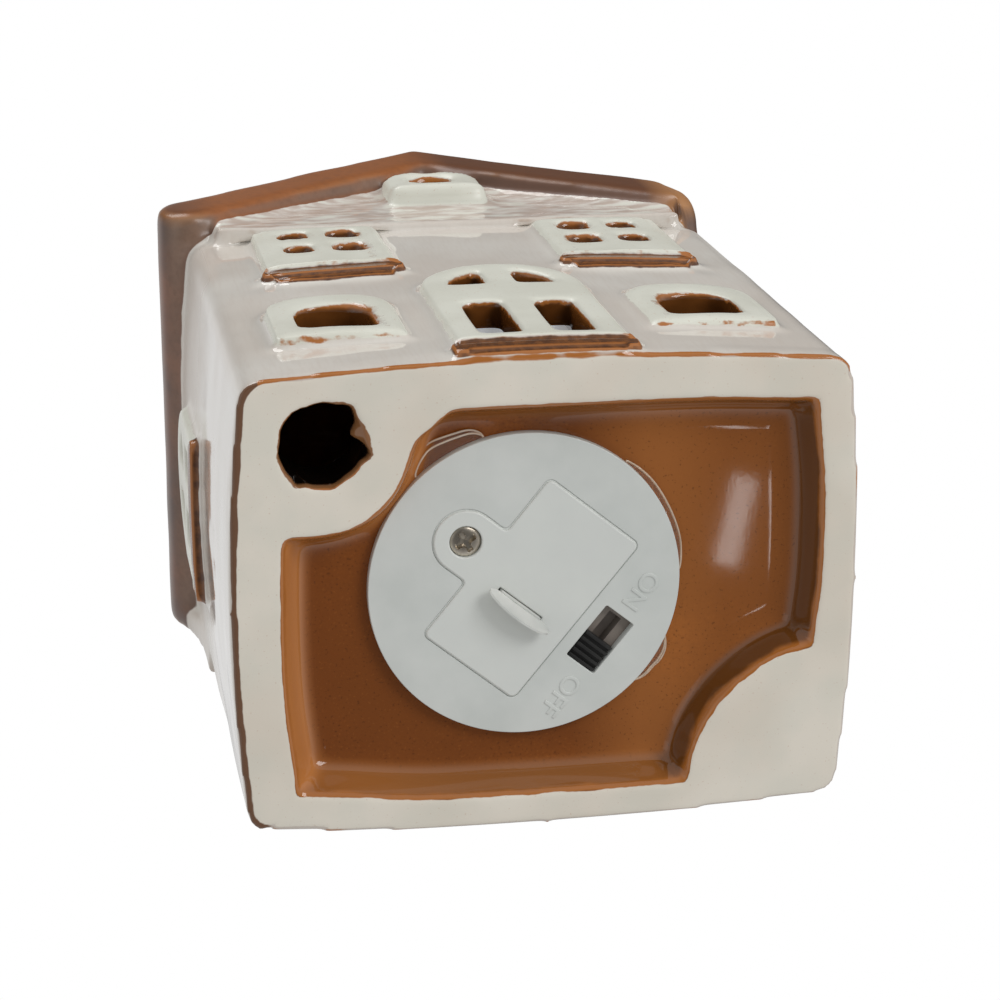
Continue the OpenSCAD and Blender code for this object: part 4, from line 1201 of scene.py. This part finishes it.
class VILLAGE_OT_diodes(bpy.types.Operator):
    """Two white 5 mm diodes on their leads"""

    bl_idname = "village.diodes"
    bl_label = "Diodes"

    def execute(self, context):
        # The lenses get a painted glow: the diodes are switched off, and it stands in for the key light
        # that they catch
        lens = moulded_plastic("cast diffuse epoxy", "#f4f7fb", "#eaf0f8", 0.12, 0.6, painted_glow=0.3)
        dome = [(LENS_R * math.cos(a), LENS_H + LENS_R * math.sin(a))
                for a in np.linspace(0, math.pi / 2, 16)]
        profile = [(0, 0), (RIM_R - 0.1, 0), (RIM_R, 0.1), (RIM_R, RIM_H - 0.1), (RIM_R - 0.1, RIM_H),
                   (LENS_R, RIM_H + 0.02), *dome]
        # A little forward and up, so that the domes show through the big window
        shift = Vector((0, -0.6, 0.6))
        for number in (1, 2):
            foot, way = diode_place(number)
            turn = Vector((0, 0, 1)).rotation_difference(way).to_matrix().to_4x4()
            mesh = turned(profile, IN_HOUSE @ Matrix.Translation(foot + shift) @ turn, 64)
            put_piece(f"diode_lens_{number}", mesh, lens, "house", [f"led_{number}"])
            dress_node(f"led_leads_{number}",
                       plated_metal(f"tinned diode leads {number}", "#c9c6bf", "#aaa69e", 0.3, 0.3))
        return {"FINISHED"}


def diode_place(number):
    """Foot and direction of a diode, read from its CAD node: the rim disc is its widest end."""
    node = frame["nodes"][f"led_{number}"]
    points = np.array([v.co for v in node.data.vertices]) / MM
    middle = points.mean(axis=0)
    axis = np.linalg.svd(points - middle, full_matrices=False)[2][0]
    axis *= np.sign(axis[2])
    along = (points - middle) @ axis
    low = points[along < along.min() + 0.05].mean(axis=0)
    return Vector(low), Vector(axis)


class VILLAGE_OT_works(bpy.types.Operator):
    """Works of the light: cap, cells, contacts, board, resistor and wires"""

    bl_idname = "village.works"
    bl_label = "Works of the light"

    def execute(self, context):
        look = context.scene.module_look
        for node, *plastic in (
                ("module_cap", "moulded white cap", look.white, look.white_shade, 0.4, 0.3),
                ("resistor", "dipped resistor lacquer", "#c9ab7b", "#b5925d", 0.3, 0.4),
                ("red_wire", "extruded red insulation", "#b5261f", "#9c1f1a", 0.35, 0.4),
                ("black_wire", "extruded black insulation", "#242424", "#1b1b1b", 0.35, 0.4),
                ("white_wire", "extruded white insulation", "#dcdad4", "#cdcac2", 0.35, 0.4)):
            dress_node(node, moulded_plastic(*plastic))
        steel = plated_metal("nickel-plated cell can", "#c4c2bd", "#aeaca6", 0.22, 0.5)
        for number in (1, 2, 3):
            dress_node(f"button_cell_{number}", steel)
        brass = plated_metal("spring brass", "#c7a45e", "#a98546", 0.3, 0.4)
        for pole in ("positive", "negative"):
            dress_node(f"{pole}_contact", brass)
        dress_node("circuit_board", solder_mask("paper laminate board", "#1f5a34", "#2f7446"))
        return {"FINISHED"}


class VILLAGE_OT_stage(bpy.types.Operator):
    """Floor, lamps, background and camera"""

    bl_idname = "village.stage"
    bl_label = "Stage"

    def execute(self, context):
        look = context.scene.stage_look
        make_floor(look)
        make_world(look)
        make_lamps()
        make_camera()
        context.scene.view_settings.view_transform = "Standard"
        return {"FINISHED"}


def make_floor(look):
    """Round pale floor that fades into the background and lets light and the camera through
    from below, because the photograph looks up at the foot of the house."""
    work = bmesh.new()
    bmesh.ops.create_circle(work, cap_ends=True, segments=96, radius=look.floor_reach)
    floor = new_object("floor", from_work(work, "floor"))
    floor.location.z = -0.3 * MM
    for ray in ("diffuse", "glossy", "transmission", "shadow"):
        setattr(floor, f"visible_{ray}", False)
    material = bpy.data.materials.new("matte paper floor")
    tree = emptied(material)
    place = add_node(tree, "ShaderNodeTexCoord")
    away = add_node(tree, "ShaderNodeVectorMath", {0: place.outputs["Object"]}, operation="LENGTH")
    fade = add_node(tree, "ShaderNodeMapRange",
                    {0: away.outputs["Value"], 1: look.floor_reach * 0.3, 2: look.floor_reach * 0.95},
                    interpolation_type="SMOOTHSTEP")
    back = add_node(tree, "ShaderNodeNewGeometry")
    gone = add_node(tree, "ShaderNodeMath", {0: fade.outputs[0], 1: back.outputs["Backfacing"]},
                    operation="MAXIMUM")
    paper = layered(tree, look.floor, [(colour("#e9e8e5"), grain(tree, 3))])
    matte = add_node(tree, "ShaderNodeBsdfDiffuse", {"Color": paper})
    clear = add_node(tree, "ShaderNodeBsdfTransparent")
    mixed = add_node(tree, "ShaderNodeMixShader",
                     {0: gone.outputs[0], 1: matte.outputs[0], 2: clear.outputs[0]})
    add_node(tree, "ShaderNodeOutputMaterial", {"Surface": mixed.outputs[0]})
    floor.data.materials.append(material)


def make_world(look):
    """White background, white in reflections but for the dim side behind the camera, soft fill."""
    world = bpy.data.worlds.new("studio")
    bpy.context.scene.world = world
    tree = emptied(world)
    path = add_node(tree, "ShaderNodeLightPath").outputs
    place = add_node(tree, "ShaderNodeTexCoord")
    way = add_node(tree, "ShaderNodeSeparateXYZ", {0: place.outputs["Generated"]}).outputs
    level = add_node(tree, "ShaderNodeMapRange", {0: way["Z"], 1: -0.93, 2: -0.3, 3: 0.12, 4: 0.8},
                     interpolation_type="SMOOTHSTEP").outputs[0]
    aloft, ahead, right = (
        add_node(tree, "ShaderNodeMapRange", {0: way[axis], 1: low, 2: high}).outputs[0]
        for axis, low, high in (("Z", 0.3, 0.75), ("Y", 0.1, -0.2), ("X", -0.02, 0.12)))
    dim = add_node(tree, "ShaderNodeMath", {0: ahead, 1: right}, operation="MAXIMUM").outputs[0]
    dim = add_node(tree, "ShaderNodeMath", {0: aloft, 1: dim}, operation="MULTIPLY").outputs[0]
    mirrored = add_node(tree, "ShaderNodeMath",
                        {0: path["Is Glossy Ray"], 1: path["Is Transmission Ray"]},
                        operation="MAXIMUM").outputs[0]
    seen = add_node(tree, "ShaderNodeMix", {0: dim, 2: level, 3: 0.12}).outputs[0]
    power = add_node(tree, "ShaderNodeMix", {0: mirrored, 2: look.fill, 3: seen}).outputs[0]
    power = add_node(tree, "ShaderNodeMix", {0: path["Is Camera Ray"], 2: power, 3: 1.0}).outputs[0]
    back = add_node(tree, "ShaderNodeBackground", {"Color": (1, 1, 1, 1), "Strength": power})
    add_node(tree, "ShaderNodeOutputWorld", {"Surface": back.outputs[0]})


def make_lamps():
    """Soft boxes: the key above the photographed house, a fill from its right, a slim one whose
    reflection lies in the recess, and one in front of the roof."""
    for name, place, aim, wide, high, roll, watts in (
            ("key", (480, -520, -520), (0, 0, 20), 380, 380, 0, 3.0),
            ("side", (-520, -120, -380), (0, 0, 10), 300, 400, 0, 0.15),
            ("strip", (230, 244, -730), (25, -7, 5), 10, 38, -53, 0.006),
            ("top", (-300, -780, 520), (0, 0, 60), 500, 500, 0, 3.2)):
        data = bpy.data.lights.new(name, "AREA")
        data.shape = "RECTANGLE"
        data.size, data.size_y = wide * MM, high * MM
        data.energy = watts
        lamp = new_object(name, data)
        lamp.location = Vector(place) * MM
        turn = (Vector(aim) - Vector(place)).to_track_quat("-Z", "Y").to_matrix()
        lamp.rotation_euler = (turn @ Matrix.Rotation(math.radians(roll), 3, "Z")).to_euler()


def make_camera():
    """Camera as the photograph was taken: below and in front of the house, looking up at its foot."""
    data = bpy.data.cameras.new("camera")
    data.sensor_width = 36
    data.lens = 98.04
    data.clip_start, data.clip_end = 0.01, 10
    camera = new_object("camera", data)
    right = Vector((0.98383, -0.00295, -0.17909))
    up = Vector((0.05212, -0.95189, 0.30199))
    ahead = Vector((0.17136, 0.30644, 0.93634))
    camera.matrix_world = Matrix.Translation(Vector((-63.814, -115.785, -314.05)) * MM) @ Matrix(
        (right, up, -ahead)).transposed().to_4x4()
    bpy.context.scene.camera = camera


class VILLAGE_PT_pieces(bpy.types.Panel):
    """Lists the pieces of the house and its light"""

    bl_idname = "VILLAGE_PT_pieces"
    bl_label = "Village house"
    bl_space_type = "VIEW_3D"
    bl_region_type = "UI"
    bl_category = "Village house"

    def draw(self, context):
        for made in OPERATORS:
            self.layout.operator(made.bl_idname)


GROUPS = {"house_glaze": HouseGlaze, "module_look": ModuleLook, "stage_look": StageLook}
OPERATORS = (
    VILLAGE_OT_stage,
    VILLAGE_OT_ceramic_shell,
    VILLAGE_OT_module_moulding,
    VILLAGE_OT_battery_cover,
    VILLAGE_OT_cover_screw,
    VILLAGE_OT_pull_tab,
    VILLAGE_OT_switch,
    VILLAGE_OT_hot_glue,
    VILLAGE_OT_diodes,
    VILLAGE_OT_works,
)


def register():
    """Registers the classes and gives the scene its groups of sizes and colours."""
    for made in (*GROUPS.values(), *OPERATORS, VILLAGE_PT_pieces):
        bpy.utils.register_class(made)
    for name, group in GROUPS.items():
        setattr(bpy.types.Scene, name, bpy.props.PointerProperty(type=group))


def unregister():
    """Takes back what register did."""
    for name in GROUPS:
        delattr(bpy.types.Scene, name)
    for made in reversed((*GROUPS.values(), *OPERATORS, VILLAGE_PT_pieces)):
        bpy.utils.unregister_class(made)


def main():
    """Builds every piece through its operator."""
    register()
    for made in OPERATORS:
        group, name = made.bl_idname.split(".")
        getattr(getattr(bpy.ops, group), name)()


if __name__ == "__main__":
    main()
